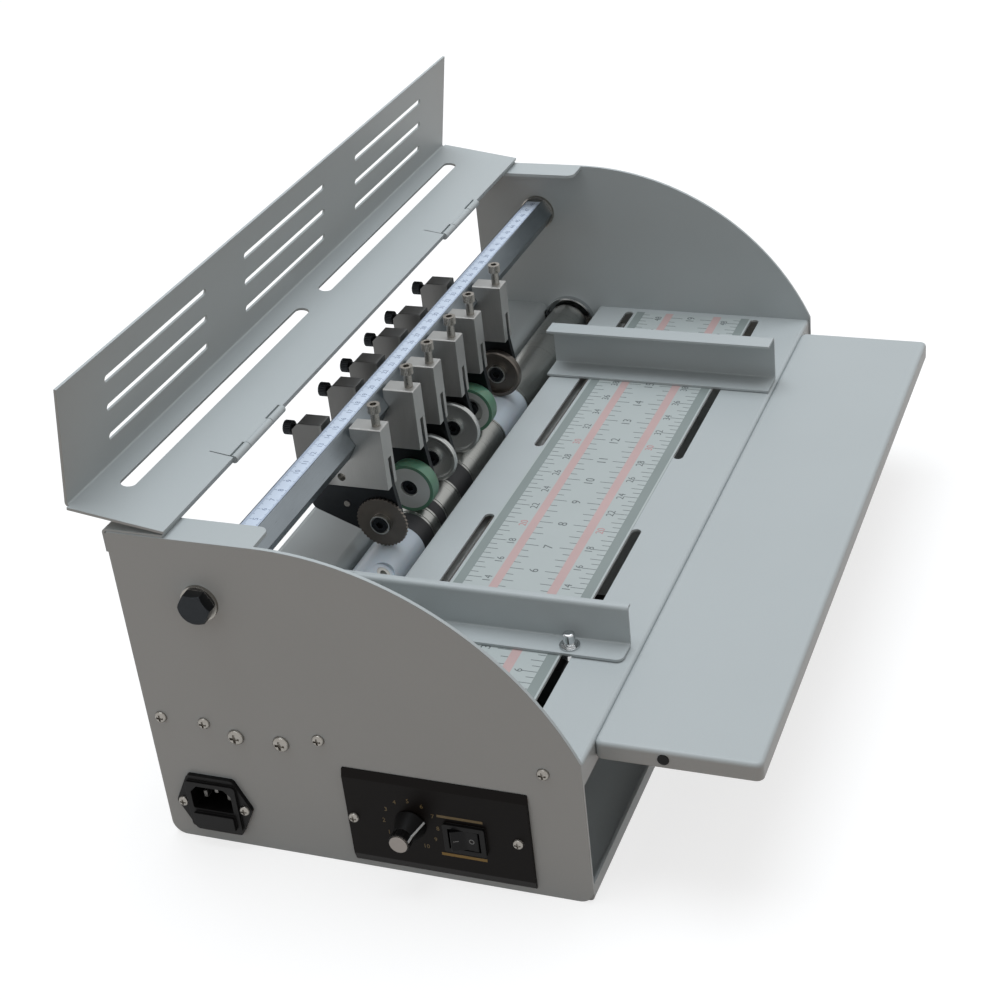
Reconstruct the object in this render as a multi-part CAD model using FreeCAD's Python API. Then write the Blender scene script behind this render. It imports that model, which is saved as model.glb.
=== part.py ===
import FreeCAD, Part
import math
import os

# Desktop paper creasing machine, in millimetres.
# X runs along the rollers, +X away from the control panel; -Y is the infeed side; +Z is up.
# The origin is the centre of the base underside, and the case stands on Z = 0.

V = FreeCAD.Vector

# ---------------------------------------------------------------- fits
SLIDE_GAP = 0.3           # between pieces that pass over each other
PIN_FIT = 0.05            # radial play of a turning or sliding pin, axle or shaft
HOLE_FIT = 0.2            # radial play of a fastener in sheet metal
PRESS_GAP = 0.02          # radial gap between pieces pressed or bonded together
CUT = 1.0                 # how far a cutting body runs past the face it opens
TINY = 1e-3               # below this, two places are the same

# ---------------------------------------------------------------- case
HALF_WIDTH = 253.5        # outer face of either side plate
PLATE_T = 2.0
INNER_X = HALF_WIDTH - PLATE_T
HALF_DEPTH = 120.5        # front and rear edges of the side plates
PLATE_HEIGHT = 192.0
PLATE_FRONT_HEIGHT = 87.9 # front edge, from its foot to the arc
ARC_RADIUS = 175.0        # curved upper front edge
PLATE_FOOT_R = 8.0
FLANGE_WIDTH = 20.0       # inward flange along the top
FLANGE_LEAD = 1.0         # flange starts this far before the arc ends
FLANGE_CORNER_R = 5.0
PLATE_REAR_R = 2.0        # rear top corner, inside the rail's fold

SHEET_T = 1.5             # bed, base, rail, guides and cover
BEND_R = 1.0              # inside radius of their folds
PAN_SETBACK = 0.5         # base pan behind the plates' front and rear edges
PAN_LIP_HEIGHT = 10.0
PAN_WALL_HEIGHT = 84.0
PAN_SIDE_HEIGHT = 10.0
PAN_SIDE_INSET = 8.0      # side flanges end this far before the pan's corners
VENT_COUNT = 14
VENT_PITCH = 9.0
VENT_SIZE = (3.5, 30.0)   # width and height
VENT_CENTRE_INSET = 81.5  # from the left plate's inner face
VENT_CENTRE_Z = 42.0

# ---------------------------------------------------------------- paper path
BED_TOP = 86.0
BED_FRONT_Y = -119.5
BED_REAR_Y = 33.5
BED_FOLD = 14.0           # depth of the front fold
SIDE_FLANGE_DEPTH = 15.0
BED_FLANGE_Y = (-112.0, 30.0)
BED_SLOT_STARTS = (-36.5, 47.0)   # inner ends of the left and right guide slots
BED_SLOT_END_GAP = 5.5    # to the side plates
FRONT_SLOT = (-86.0, -80.0)
REAR_SLOT = (5.0, 11.2)
REAR_LEDGE_Y = 12.0       # front edge of the stiffening angle under the rear slots
REAR_LEDGE_DROP = 8.5     # its top below the bed
REAR_LEDGE_END_GAP = 8.0  # to the side plates
RULER_Y = (-80.0, 4.0)
RULER_END_GAP = 5.5       # to the side plates
RULER_T = 0.3

OUTPUT_FRONT_Y = 73.0
OUTPUT_FRONT_R = 4.5      # inside radius of its front bend
OUTPUT_FRONT_FOLD = 24.0
OUTPUT_REAR_FOLD = 12.0
OUTPUT_FLANGE_Y = (80.0, 116.5)
OUTPUT_END_NOTCH = 7.0    # front fold cut back at both ends, round the bearings

TRAY_INSET = 20.0         # ends behind the side plates' inner faces
TRAY_LENGTH = 85.0
TRAY_DEPTH = 10.0
TRAY_T = 1.2
TRAY_CORNER_R = 4.0
TRAY_EDGE_R = 2.5
TRAY_HOLE_Y = -155.0
TRAY_HOLE_R = 2.5
TRAY_PLUG_R = 3.0
TRAY_PLUG_HEAD = 0.5
TRAY_SCREW_X = (-190.0, -64.0, 64.0, 190.0)
TRAY_SCREW_DROP = 6.0     # below the bed's top face

# ---------------------------------------------------------------- case fasteners
CASE_SCREW_Y = (-100.4, 21.0, 86.6, 112.0)
CASE_SCREW_DROP = 6.5     # below the bed's top face
M4_R = 2.0
M4_HEAD_R = 3.4
M4_HEAD_H = 2.2
M4_NUT_AF = 7.0
M4_NUT_H = 3.0
THREAD_PAST_NUT = 1.0
HEAD_ROUND = 0.9          # edge radius of a pan head, in head heights
RECESS_HALF_LENGTH = 0.6  # cross recess, in head radii
RECESS_HALF_WIDTH = 0.17
RECESS_BOTTOM = 0.45      # metal left under the recess, in head heights

# ---------------------------------------------------------------- rail and cover
RAIL_INSET = 0.5          # rail and cover ends behind the plates' outer faces
RAIL_LIP_DEPTH = 13.5
HINGE_Y = 86.7
LEAF_DROP = 0.2           # closed cover's top face below the hinge axis
RAIL_SETBACK = 1.0        # rail front edge behind the hinge axis
BARREL_R = 2.25
HINGE_PIN_R = 1.25
HINGE_X = (-149.0, 146.0)
HINGE_LENGTH = 57.0
KNUCKLE_LENGTH = 15.0     # each outer knuckle
KNUCKLE_GAP = 0.4
COVER_DEPTH = 56.0
COVER_FRONT_HEIGHT = 67.0
COVER_FRONT_GAP = 1.0     # front leaf to the plates' inner faces
COVER_TILT = 8.5          # rise of the opened cover towards the rear, degrees
COVER_SLOT_START = 12.5   # from the middle of the cover
COVER_SLOT_END_GAP = 29.0 # to the plates' outer faces
COVER_SLOT_S = (33.0, 41.5)
LOUVRE_LENGTH = 108.0
LOUVRE_PITCH = 153.5
LOUVRE_WIDTH = 3.8
LOUVRE_HEIGHTS = (16.5, 33.5, 50.0)
RELIEF_LENGTH = 14.0
RELIEF_WIDTH = 0.8

# ---------------------------------------------------------------- tool bar
BAR_Y = 73.4
BAR_Z = 156.7
BAR_AF = 20.0
SPACER_T = 3.0
SPACER_R = 12.0
BAR_BOLT_R = 5.0
BAR_BOLT_DEPTH = 20.0
BAR_BOLT_AF = 16.0
BAR_BOLT_HEAD = 6.4
BAR_BOLT_CHAMFER = 1.2
WASHER_R = 10.0
WASHER_T = 2.0
TAPE_WIDTH = 10.0
TAPE_T = 0.2
TAPE_END_GAP = 3.5        # to the bar's ends

# ---------------------------------------------------------------- lower roller
ROLLER_Y = 56.0
ROLLER_Z = 73.5
ROLLER_R = 15.0
SHAFT_R = 5.0
SHAFT_END_GAP = 1.0       # shaft end to side plate
ROLLER_LEFT_GAP = 18.5    # sleeves to the left side plate
ROLLER_RIGHT_GAP = 6.5
ROLLER_END = INNER_X - ROLLER_RIGHT_GAP
SLEEVES = (               # right end and material of each sleeve, from the left
    (-63.5, "nylon"),
    (-49.0, "rubber"),
    (-38.0, "steel"),
    (-29.0, "rubber"),
    (-5.0, "steel"),
    (15.5, "rubber"),
    (75.0, "steel"),
    (116.5, "nylon"),
    (ROLLER_END, "steel"),
)
GROOVE_WIDTH = 0.8
GROOVE_DEPTH = 0.5
GROOVE_INSET = 1.5
LOCK_SCREW_X = -107.0
LOCK_SCREW_ANGLE = 40.0   # from the vertical towards the infeed, degrees
LOCK_RECESS_R = 7.0
LOCK_RECESS_DEPTH = 2.0
LOCK_HEAD_R = 4.5
LOCK_HEAD_H = 3.0
LOCK_SOCKET_R = 2.25
LOCK_SOCKET_DEPTH = 2.0

BEARING_SCREW_SPACING = 26.0
BEARING_HOUSING_T = 5.5
BEARING_FLANGE_T = 3.0
BEARING_FLANGE_R = 9.0
BEARING_BOSS_R = 8.2
BEARING_OUTER_R = 6.6
FAR_RING_R = 19.0
FAR_RING_WALL = 1.2
FAR_RING_T = 4.5
FAR_RING_FLOOR = 1.5
M5_R = 2.5
M5_HEAD_R = 4.6
M5_HEAD_H = 2.6
M5_NUT_AF = 8.0
M5_NUT_H = 2.4

# ---------------------------------------------------------------- drive
MOTOR_SHAFT_Z = 30.0
MOTOR_SHAFT_R = 4.0
MOTOR_SHAFT_DEPTH = 12.0  # into the gearbox
PULLEY_GAP = 7.0          # side plate to the pulleys
PULLEY_WIDTH = 10.0
PULLEY_R = 9.0
PULLEY_FLANGE_R = 11.5
PULLEY_FLANGE_T = 1.2
BELT_T = 1.5
BRACKET_GAP = 4.5         # pulleys to the motor bracket
BRACKET_T = 2.0
BRACKET_BASE = 60.0
BRACKET_HALF_DEPTH = 26.0
BRACKET_HEIGHT = 55.0
GEARBOX_HALF = 21.0
GEARBOX_LENGTH = 30.0
GEARBOX_BOSS_R = 11.0
GEARBOX_CORNER_R = 3.0
MOTOR_CAN_R = 18.0
MOTOR_CAN_LENGTH = 62.0
MOTOR_CAN_EDGE_R = 2.0
MOTOR_CAP_R = 6.0
MOTOR_CAP_LENGTH = 4.0

# ---------------------------------------------------------------- controls
PANEL_Y = (-90.5, 10.5)
PANEL_Z = (4.0, 64.5)
PANEL_T = 2.0
PANEL_CORNER_R = 0.8
PANEL_BEVEL = (1.5, 5.0)  # depth and height, along the top and bottom edges
PANEL_SCREW_Y = (-83.6, 7.0)
PANEL_SCREW_Z = 33.5
KNOB_Y = -25.0
KNOB_Z = 35.0
KNOB_SKIRT_R = 8.6        # where its cone meets the panel
KNOB_SKIRT_H = 10.0
KNOB_R = 5.8
KNOB_LENGTH = 15.0
KNOB_CAP_R = 4.9
KNOB_CAP_T = 1.0
KNOB_FLUTES = 18
KNOB_FLUTE_DEPTH = 0.3
POT_SHAFT_R = 3.0
POT_SHAFT_REACH = 8.0     # into the knob
POT_BUSH_R = 4.5
POT_BUSH_PAST_PANEL = 0.3
POT_BODY_R = 11.0
POT_BODY_LENGTH = 9.0
SWITCH_Y = -54.8
SWITCH_Z = 31.3
BEZEL_HALF = (11.4, 8.8)
BEZEL_T = 2.0
BEZEL_CORNER_R = 1.0
SWITCH_BODY_HALF = (9.8, 7.8)
SWITCH_OPENING_HALF = (8.7, 6.4)
SWITCH_BODY_DEPTH = 18.0
SWITCH_CAVITY_DEPTH = 9.0
ROCKER_HALF_LENGTH = 7.3
ROCKER_RISE = 1.2         # rocker ends above the bezel
ROCKER_DIP = 1.6          # its centre below the ends
ROCKER_ROOT = 3.0         # behind its pivot
ROCKER_ROOT_HALF = 4.4
ROCKER_EDGE_R = 0.5
ROCKER_DISH_R = 6.0
ROCKER_TILT = 10.0        # degrees, either way from level
ROCKER_PIVOT_R = 1.2
ROCKER_PIVOT_LENGTH = 1.0

INLET_Y = 89.8
INLET_Z = 26.0
INLET_HALF_HEIGHT = 18.2
INLET_HALF_TOP = 13.5
INLET_HALF_WIDTH = 22.5
INLET_FLANGE_T = 2.5
INLET_CORNER_R = 2.5
INLET_RIM_T = 1.5
INLET_RIM_HALF = (15.0, 15.0)
INLET_RIM_R = 2.0
INLET_BODY_HALF = (14.0, 14.0)
INLET_BODY_DEPTH = 22.0
INLET_SOCKET_HALF = (12.0, 7.5)
INLET_SOCKET_RISE = 5.0   # socket centre above the flange's
INLET_SOCKET_CHAMFER = 4.0
INLET_SOCKET_R = 1.0
INLET_SOCKET_DEPTH = 17.0
FUSE_DRAWER_HALF = (12.0, 4.5)
FUSE_DRAWER_DROP = 9.0    # drawer centre below the flange's
FUSE_DRAWER_T = 2.0       # proud of the rim
FUSE_DRAWER_R = 0.8
INLET_SCREW_SPACING = 36.5
INLET_PIN = (2.0, 4.0, 11.0)   # thickness, width, length
INLET_PIN_PITCH = 7.0
INLET_PIN_RISE = 2.0
M3_R = 1.5
M3_HEAD_R = 2.9
M3_HEAD_H = 1.8
M3_NUT_AF = 5.5
M3_NUT_H = 2.4

BOARD_GAP = 7.0           # motor to board
BOARD_LENGTH = 100.0
BOARD_Y = (-70.0, 0.0)
BOARD_T = 1.6
STANDOFF_H = 6.0
STANDOFF_R = 3.0
STANDOFF_INSET = 5.0
TRANSFORMER_SIZE = (34.0, 30.0, 26.0)
HEATSINK_SIZE = (6.0, 44.0, 24.0)
CAPACITOR_R = 6.0
CAPACITOR_H = 20.0
CAPACITOR_PITCH = 18.0
CAPACITOR_COUNT = 3
RELAY_SIZE = (16.0, 20.0, 15.0)
BOARD_MARGIN = 12.0

# ---------------------------------------------------------------- side guides
GUIDE_LIFT = 0.5          # guide foot above the bed, over the ruler sheet
GUIDE_SCREW_X = 8.0       # screw line from the web
GUIDE_FOOT_CORNER_R = 4.0
NEAR_GUIDE_X = -151.0     # outer face of its web
NEAR_GUIDE_Y = (-114.0, 36.0)
NEAR_GUIDE_REAR_Y = 51.0  # web runs on above the roller
NEAR_GUIDE_TOP = 111.0
NEAR_GUIDE_FOOT = 15.0
NEAR_GUIDE_HEM = 4.5
ROLLER_CLEARANCE = 0.8    # web above the roller
FAR_GUIDE_X = 160.5
FAR_GUIDE_Y = (-117.8, 34.0)
FAR_GUIDE_TOP = 117.0
FAR_GUIDE_RETURN = 15.2
FAR_GUIDE_LIP = 20.5
FAR_BRACKET_Y = (-114.0, 30.0)
FAR_BRACKET_FOOT = 16.5
FAR_BRACKET_HEIGHT = 13.5
GUIDE_CAP_R = 3.3
GUIDE_CAP_H = 8.5
GUIDE_CAP_EDGE_R = 1.2
GUIDE_COLLAR_H = 2.4
GUIDE_WASHER_R = 5.6
GUIDE_WASHER_T = 1.2
GUIDE_NUT_AF = 8.0
GUIDE_NUT_H = 3.0

# ---------------------------------------------------------------- tool stations
HOLDER_X = (-90.0, -42.5, -11.0, 24.5, 56.5, 101.5)   # left face of each holder
HOLDER_T = 12.0
HOLDER_Y = (45.5, 101.0)
HOLDER_Z = (129.0, 167.5)
HOLDER_EDGE = 0.5
HOLDER_REAR_CHAMFER = 4.5
NOTCH_GAP = 0.15          # round the hexagonal bar
CHANNEL_Y = (64.5, 82.0)
ARM_GAP = 0.2             # either side of the arm in its slot
ARM_X = 5.2               # arm's left face from the holder's
ARM_T = 3.6
SLOT_TOP = 142.0
SLOT_TOP_FRONT = 147.0
SLOT_STEP_Y = 61.0
ARM_TOP = 139.5
ARM_TOP_FRONT = 143.0
ARM_STEP_Y = 60.0
ARM_FRONT_Y = 47.5
ARM_REAR_Y = 98.7
ARM_CORNER_Z = 109.5
ARM_CORNER_R = 5.0
ARM_TOP_CORNER_R = 1.0
ARM_END_R = 12.5
PIVOT_Y = 74.0
PIVOT_Z = 134.8
PIVOT_R = 2.5
PIVOT_RECESS = 2.5        # pin ends below the holder's faces
ARM_RIVET = (76.0, 114.0)
ARM_RIVET_R = 1.8
ARM_RIVET_HEAD = 0.6

ADJUST_Y = 50.3
ADJUST_R = 2.5
ADJUST_POINT_R = 1.5
ADJUST_POINT_H = 3.0
ADJUST_NECK_TOP = 176.0
ADJUST_HEAD_R = 3.8
ADJUST_HEAD_H = 5.0
CLAMP_Z = 161.0
CLAMP_R = 2.5
CLAMP_NECK = 2.0
CLAMP_HEAD_R = 4.25
CLAMP_HEAD_H = 5.0
KNURL_COUNT = 24
KNURL_DEPTH = 0.35
SOCKET_SHARE = 0.95       # hexagon socket across flats, in head radii
SOCKET_DEPTH = 3.0

NIP = 0.3                 # tool wheel above the lower roller
WHEEL_GAP = 0.3           # wheel to arm and to bolt head
AXLE_Y = 54.5             # wheels stand a little ahead of the roller's axis
WHEEL_WIDTH = 9.0         # feed wheels
DISC_WIDTH = 5.0          # perforating, creasing and scoring wheels
AXLE_R = 3.0
AXLE_HEAD_R = 4.6
AXLE_HEAD_H = 3.0
AXLE_SOCKET_DEPTH = 2.1
AXLE_NUT_AF = 10.0
AXLE_NUT_H = 4.0
TOOLS = (                 # kind and radius of each station's wheel
    ("perforating", 15.9),
    ("feed", 15.5),
    ("creasing", 16.0),
    ("creasing", 17.5),
    ("open_feed", 15.4),
    ("scoring", 16.0),
)
TEETH = 40
TOOTH_DEPTH = 0.9
BLADE_T = 1.6
HUB_R = 6.0
TYRE_T = 2.1
COUNTERBORE_R = 5.3
COUNTERBORE_DEPTH = 4.6
DISC_COUNTERBORE = 3.4
OPEN_BORE_R = 9.0
CREASE_RIM_T = 2.6
CREASE_RIM_WIDTH = 3.5
CREASE_RIM_CHAMFER = 0.9
CREASE_WEB_T = 1.2
SCORE_RIM_T = 2.4
SCORE_WEB_T = 1.4
SCORE_CHAMFER = 0.8

# ---------------------------------------------------------------- derived places
ARC_CENTRE_Z = PLATE_HEIGHT - ARC_RADIUS
ARC_RISE = PLATE_FRONT_HEIGHT - ARC_CENTRE_Z
ARC_CENTRE_Y = math.sqrt(ARC_RADIUS ** 2 - ARC_RISE ** 2) - HALF_DEPTH
FLANGE_FRONT_Y = ARC_CENTRE_Y - FLANGE_LEAD
BED_SLOT_END = INNER_X - BED_SLOT_END_GAP
BED_SLOTS_X = ((-BED_SLOT_END, BED_SLOT_STARTS[0]), (BED_SLOT_STARTS[1], BED_SLOT_END))
COVER_SLOT_X = (COVER_SLOT_START, HALF_WIDTH - COVER_SLOT_END_GAP)
RULER_HALF_LENGTH = INNER_X - RULER_END_GAP
TRAY_HALF_WIDTH = INNER_X - TRAY_INSET
RAIL_HALF_LENGTH = HALF_WIDTH - RAIL_INSET
COVER_FRONT_HALF = INNER_X - COVER_FRONT_GAP
PAN_HALF_DEPTH = HALF_DEPTH - PAN_SETBACK
SCREW_LINE_Z = BED_TOP - CASE_SCREW_DROP
HINGE_Z = PLATE_HEIGHT + SLIDE_GAP + SHEET_T + LEAF_DROP
PULLEY_X = (PULLEY_GAP - INNER_X, PULLEY_GAP + PULLEY_WIDTH - INNER_X)
BRACKET_X = PULLEY_X[1] + BRACKET_GAP
MOTOR_CAN_X = BRACKET_X + BRACKET_T + GEARBOX_LENGTH
MOTOR_END_X = MOTOR_CAN_X + MOTOR_CAN_LENGTH + MOTOR_CAP_LENGTH
BOARD_X = (MOTOR_END_X + BOARD_GAP, MOTOR_END_X + BOARD_GAP + BOARD_LENGTH)
BAR_END_X = INNER_X - SPACER_T
TAPE_HALF_LENGTH = BAR_END_X - TAPE_END_GAP
TRAY_SCREW_Z = BED_TOP - TRAY_SCREW_DROP
GUIDE_FOOT_Z = BED_TOP + GUIDE_LIFT
ROLLER_AXIS = (ROLLER_Y, ROLLER_Z)
PANEL_FACE_X = -HALF_WIDTH - PANEL_T


# ---------------------------------------------------------------- basic solids
def block(x, y, z):
    """Box between two limits on each axis."""
    low = V(min(x), min(y), min(z))
    high = V(max(x), max(y), max(z))
    size = high - low
    return Part.makeBox(size.x, size.y, size.z, low)


def rod_x(x, centre, radius):
    """Cylinder along X about a (y, z) centre."""
    return Part.makeCylinder(radius, max(x) - min(x), V(min(x), *centre), V(1, 0, 0))


def rod_y(y, centre, radius):
    """Cylinder along Y about an (x, z) centre."""
    return Part.makeCylinder(radius, max(y) - min(y), V(centre[0], min(y), centre[1]), V(0, 1, 0))


def rod_z(z, centre, radius):
    """Cylinder along Z about an (x, y) centre."""
    return Part.makeCylinder(radius, max(z) - min(z), V(*centre, min(z)), V(0, 0, 1))


def tube_x(x, centre, outer, inner):
    """Ring along X about a (y, z) centre."""
    return rod_x(x, centre, outer).cut(rod_x((min(x) - CUT, max(x) + CUT), centre, inner))


def outline(points, place):
    """Closed wire through (u, v) or (u, v, corner radius) points, put in space by place."""
    corners = [V(point[0], point[1], 0) for point in points]
    trims = []
    for index, corner in enumerate(corners):
        radius = points[index][2] if len(points[index]) > 2 else 0.0
        if radius == 0.0:
            trims.append((corner, None, corner))
            continue
        before = (corners[index - 1] - corner).normalize()
        after = (corners[(index + 1) % len(corners)] - corner).normalize()
        half = before.getAngle(after) / 2.0
        reach = radius / math.tan(half)
        bisector = (before + after).normalize()
        middle = corner + bisector * (radius / math.sin(half) - radius)
        trims.append((corner + before * reach, middle, corner + after * reach))
    edges = []
    for index, (start, middle, end) in enumerate(trims):
        if middle is not None:
            arc = Part.Arc(*[place(p.x, p.y) for p in (start, middle, end)])
            edges.append(arc.toShape())
        following = trims[(index + 1) % len(trims)][0]
        if (following - end).Length > TINY:
            edges.append(Part.makeLine(place(end.x, end.y), place(following.x, following.y)))
    return Part.Wire(edges)


def prism_x(points, x):
    """Solid between two X limits with an outline in (y, z)."""
    wire = outline(points, lambda u, v: V(min(x), u, v))
    return Part.Face(wire).extrude(V(max(x) - min(x), 0, 0))


def prism_y(points, y):
    """Solid between two Y limits with an outline in (x, z)."""
    wire = outline(points, lambda u, v: V(u, min(y), v))
    return Part.Face(wire).extrude(V(0, max(y) - min(y), 0))


def prism_z(points, z):
    """Solid between two Z limits with an outline in (x, y)."""
    wire = outline(points, lambda u, v: V(u, v, min(z)))
    return Part.Face(wire).extrude(V(0, 0, max(z) - min(z)))


def rectangle(u, v, radius=0.0):
    """Outline points of a rectangle with equal corner radii."""
    return [(u[0], v[0], radius), (u[1], v[0], radius), (u[1], v[1], radius), (u[0], v[1], radius)]


def folded_sheet(path, thickness=SHEET_T, bends=None):
    """Outline points of a folded sheet; path is its one face, the sheet lies on its left."""
    corners = [V(u, v, 0) for u, v in path]
    runs = [(corners[i + 1] - corners[i]).normalize() for i in range(len(corners) - 1)]
    normals = [V(-run.y, run.x, 0) for run in runs]
    bends = bends or [BEND_R] * (len(runs) - 1)
    face = [(corners[0].x, corners[0].y)]
    first = corners[0] + normals[0] * thickness
    back = [(first.x, first.y)]
    for index in range(1, len(runs)):
        before, after = normals[index - 1], normals[index]
        shift = (before + after) * (thickness / (1.0 + before.dot(after)))
        point = corners[index] + shift
        left_turn = runs[index - 1].cross(runs[index]).z > 0
        inside = bends[index - 1]
        outside = inside + thickness
        face.append((corners[index].x, corners[index].y, outside if left_turn else inside))
        back.append((point.x, point.y, inside if left_turn else outside))
    last = corners[-1] + normals[-1] * thickness
    face.append((corners[-1].x, corners[-1].y))
    back.append((last.x, last.y))
    return face + back[::-1]


def hexagon(across_flats, centre=(0.0, 0.0), turn=0.0):
    """Corners of a hexagon; with no turn two flats lie level."""
    radius = across_flats / math.sqrt(3.0)
    angles = [math.radians(60.0 * i + turn) for i in range(6)]
    return [(centre[0] + radius * math.cos(a), centre[1] + radius * math.sin(a)) for a in angles]


def star(outer, inner, count, centre=(0.0, 0.0)):
    """Corners of a toothed or knurled outline."""
    points = []
    for i in range(2 * count):
        radius = outer if i % 2 == 0 else inner
        angle = math.pi * i / count
        points.append((centre[0] + radius * math.cos(angle), centre[1] + radius * math.sin(angle)))
    return points


def slot(along, across):
    """Outline points of a slot with round ends: limits along and across it."""
    radius = (max(across) - min(across)) / 2.0
    return rectangle((min(along), max(along)), (min(across), max(across)), radius)


def cut_all(shape, *tools):
    """Shape with every tool cut from it."""
    for tool in tools:
        shape = shape.cut(tool)
    return shape


def join(*shapes):
    """One solid from shapes that meet."""
    return shapes[0].multiFuse(list(shapes[1:])).removeSplitter()


def mirrored(shape):
    """The shape on the other side of the YZ plane."""
    return shape.mirror(V(0, 0, 0), V(1, 0, 0))


def both_sides(shapes):
    """The shapes and their mirror images."""
    return list(shapes) + [mirrored(shape) for shape in shapes]


def export(name, *solids):
    """Write one sub-part; a group of pieces goes as separate solids."""
    pieces = [solid for shape in solids for solid in shape.Solids]
    shape = pieces[0] if len(pieces) == 1 else Part.makeCompound(pieces)
    if not shape.isValid():
        print("invalid shape:", name)
    shape.exportStep("parts/" + name + ".step")


# ---------------------------------------------------------------- fasteners
def panel_screw(face_x, centre, radius, head_r, head_h, length):
    """Pan-head screw along X; its head stands outside face_x and its thread runs to +X."""
    head = rod_x((face_x - head_h, face_x), centre, head_r)
    rim = [e for e in head.Edges if abs(e.BoundBox.XMax - (face_x - head_h)) < TINY]
    head = head.makeFillet(head_h * HEAD_ROUND, rim)
    half_length = head_r * RECESS_HALF_LENGTH
    half_width = head_r * RECESS_HALF_WIDTH
    recess = block((face_x - head_h - CUT, face_x - head_h * RECESS_BOTTOM),
                   (centre[0] - half_length, centre[0] + half_length),
                   (centre[1] - half_width, centre[1] + half_width))
    crossed = recess.copy()
    crossed.rotate(V(face_x, *centre), V(1, 0, 0), 90.0)
    head = cut_all(head, recess, crossed)
    return join(head, rod_x((face_x, face_x + length), centre, radius))


def nut_x(x, centre, across_flats, bore):
    """Hexagon nut along X."""
    hole = rod_x((min(x) - CUT, max(x) + CUT), centre, bore + PIN_FIT)
    return prism_x(hexagon(across_flats, centre), x).cut(hole)


def screw_and_nut(face_x, seat_x, centre, sizes):
    """Screw from face_x to a nut against seat_x; sizes: thread, head and nut."""
    radius, head_r, head_h, nut_af, nut_h = sizes
    length = seat_x - face_x + nut_h + THREAD_PAST_NUT
    return [panel_screw(face_x, centre, radius, head_r, head_h, length),
            nut_x((seat_x, seat_x + nut_h), centre, nut_af, radius)]


def socket_tool(axis, face, centre, head_r, depth):
    """Hexagon socket cut into a head from its face; depth is signed along the axis."""
    past = face - math.copysign(CUT, depth)
    limits = (past, face + depth)
    points = hexagon(head_r * SOCKET_SHARE, centre)
    makers = {"x": prism_x, "y": prism_y, "z": prism_z}
    return makers[axis](points, limits)


M3 = (M3_R, M3_HEAD_R, M3_HEAD_H, M3_NUT_AF, M3_NUT_H)
M4 = (M4_R, M4_HEAD_R, M4_HEAD_H, M4_NUT_AF, M4_NUT_H)
M5 = (M5_R, M5_HEAD_R, M5_HEAD_H, M5_NUT_AF, M5_NUT_H)


# ---------------------------------------------------------------- case
def bearing_screw_places():
    """Screw centres of a roller bearing, in (y, z)."""
    half = BEARING_SCREW_SPACING / 2.0
    return [(ROLLER_Y - half, ROLLER_Z), (ROLLER_Y + half, ROLLER_Z)]


def bearing_flange(x, grow=0.0):
    """Oval of the left bearing's flange, grown all round."""
    radius = BEARING_FLANGE_R + grow
    half = BEARING_SCREW_SPACING / 2.0 + radius
    return prism_x(slot((ROLLER_Y - half, ROLLER_Y + half), (ROLLER_Z - radius, ROLLER_Z + radius)), x)


def plain_side_plate():
    """Left side plate with its top flange and the holes that both plates have."""
    x = (-HALF_WIDTH, -INNER_X)
    start_angle = math.acos(-(HALF_DEPTH + ARC_CENTRE_Y) / ARC_RADIUS)
    middle_angle = (start_angle + math.pi / 2.0) / 2.0

    def on_arc(angle):
        return V(x[0], ARC_CENTRE_Y + ARC_RADIUS * math.cos(angle),
                 ARC_CENTRE_Z + ARC_RADIUS * math.sin(angle))

    def at(y, z):
        return V(x[0], y, z)

    r = PLATE_FOOT_R
    round_off = r * (1.0 - math.sqrt(0.5))
    arc_start, arc_end = on_arc(start_angle), on_arc(math.pi / 2.0)
    edges = [
        Part.makeLine(at(-HALF_DEPTH, r), arc_start),
        Part.Arc(arc_start, on_arc(middle_angle), arc_end).toShape(),
        Part.makeLine(arc_end, at(HALF_DEPTH, PLATE_HEIGHT)),
        Part.makeLine(at(HALF_DEPTH, PLATE_HEIGHT), at(HALF_DEPTH, r)),
        Part.Arc(at(HALF_DEPTH, r), at(HALF_DEPTH - round_off, round_off),
                 at(HALF_DEPTH - r, 0)).toShape(),
        Part.makeLine(at(HALF_DEPTH - r, 0), at(r - HALF_DEPTH, 0)),
        Part.Arc(at(r - HALF_DEPTH, 0), at(round_off - HALF_DEPTH, round_off),
                 at(-HALF_DEPTH, r)).toShape(),
    ]
    web = Part.Face(Part.Wire(edges)).extrude(V(PLATE_T, 0, 0))
    flange_x = FLANGE_WIDTH - HALF_WIDTH
    flange = prism_z([(-HALF_WIDTH, FLANGE_FRONT_Y), (flange_x, FLANGE_FRONT_Y, FLANGE_CORNER_R),
                      (flange_x, HALF_DEPTH), (-HALF_WIDTH, HALF_DEPTH)],
                     (PLATE_HEIGHT - PLATE_T, PLATE_HEIGHT))
    plate = join(web, flange.common(block((-HALF_WIDTH, 0), (ARC_CENTRE_Y, HALF_DEPTH),
                                          (0, PLATE_HEIGHT))),
                 flange.common(block((-INNER_X, 0), (FLANGE_FRONT_Y, HALF_DEPTH), (0, PLATE_HEIGHT))))
    through = (-HALF_WIDTH - CUT, CUT - INNER_X)
    holes = [rod_x(through, (y, SCREW_LINE_Z), M4_R + HOLE_FIT) for y in CASE_SCREW_Y]
    holes += [rod_x(through, place, M5_R + HOLE_FIT) for place in bearing_screw_places()]
    holes.append(rod_x(through, (BAR_Y, BAR_Z), BAR_BOLT_R + HOLE_FIT))
    corner_x = (-HALF_WIDTH - CUT, CUT - HALF_WIDTH + FLANGE_WIDTH)
    centre = (HALF_DEPTH - PLATE_REAR_R, PLATE_HEIGHT - PLATE_REAR_R)
    corner = block(corner_x, (centre[0], HALF_DEPTH + CUT), (centre[1], PLATE_HEIGHT + CUT))
    holes.append(corner.cut(rod_x(corner_x, centre, PLATE_REAR_R)))
    return cut_all(plate, *holes)


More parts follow.
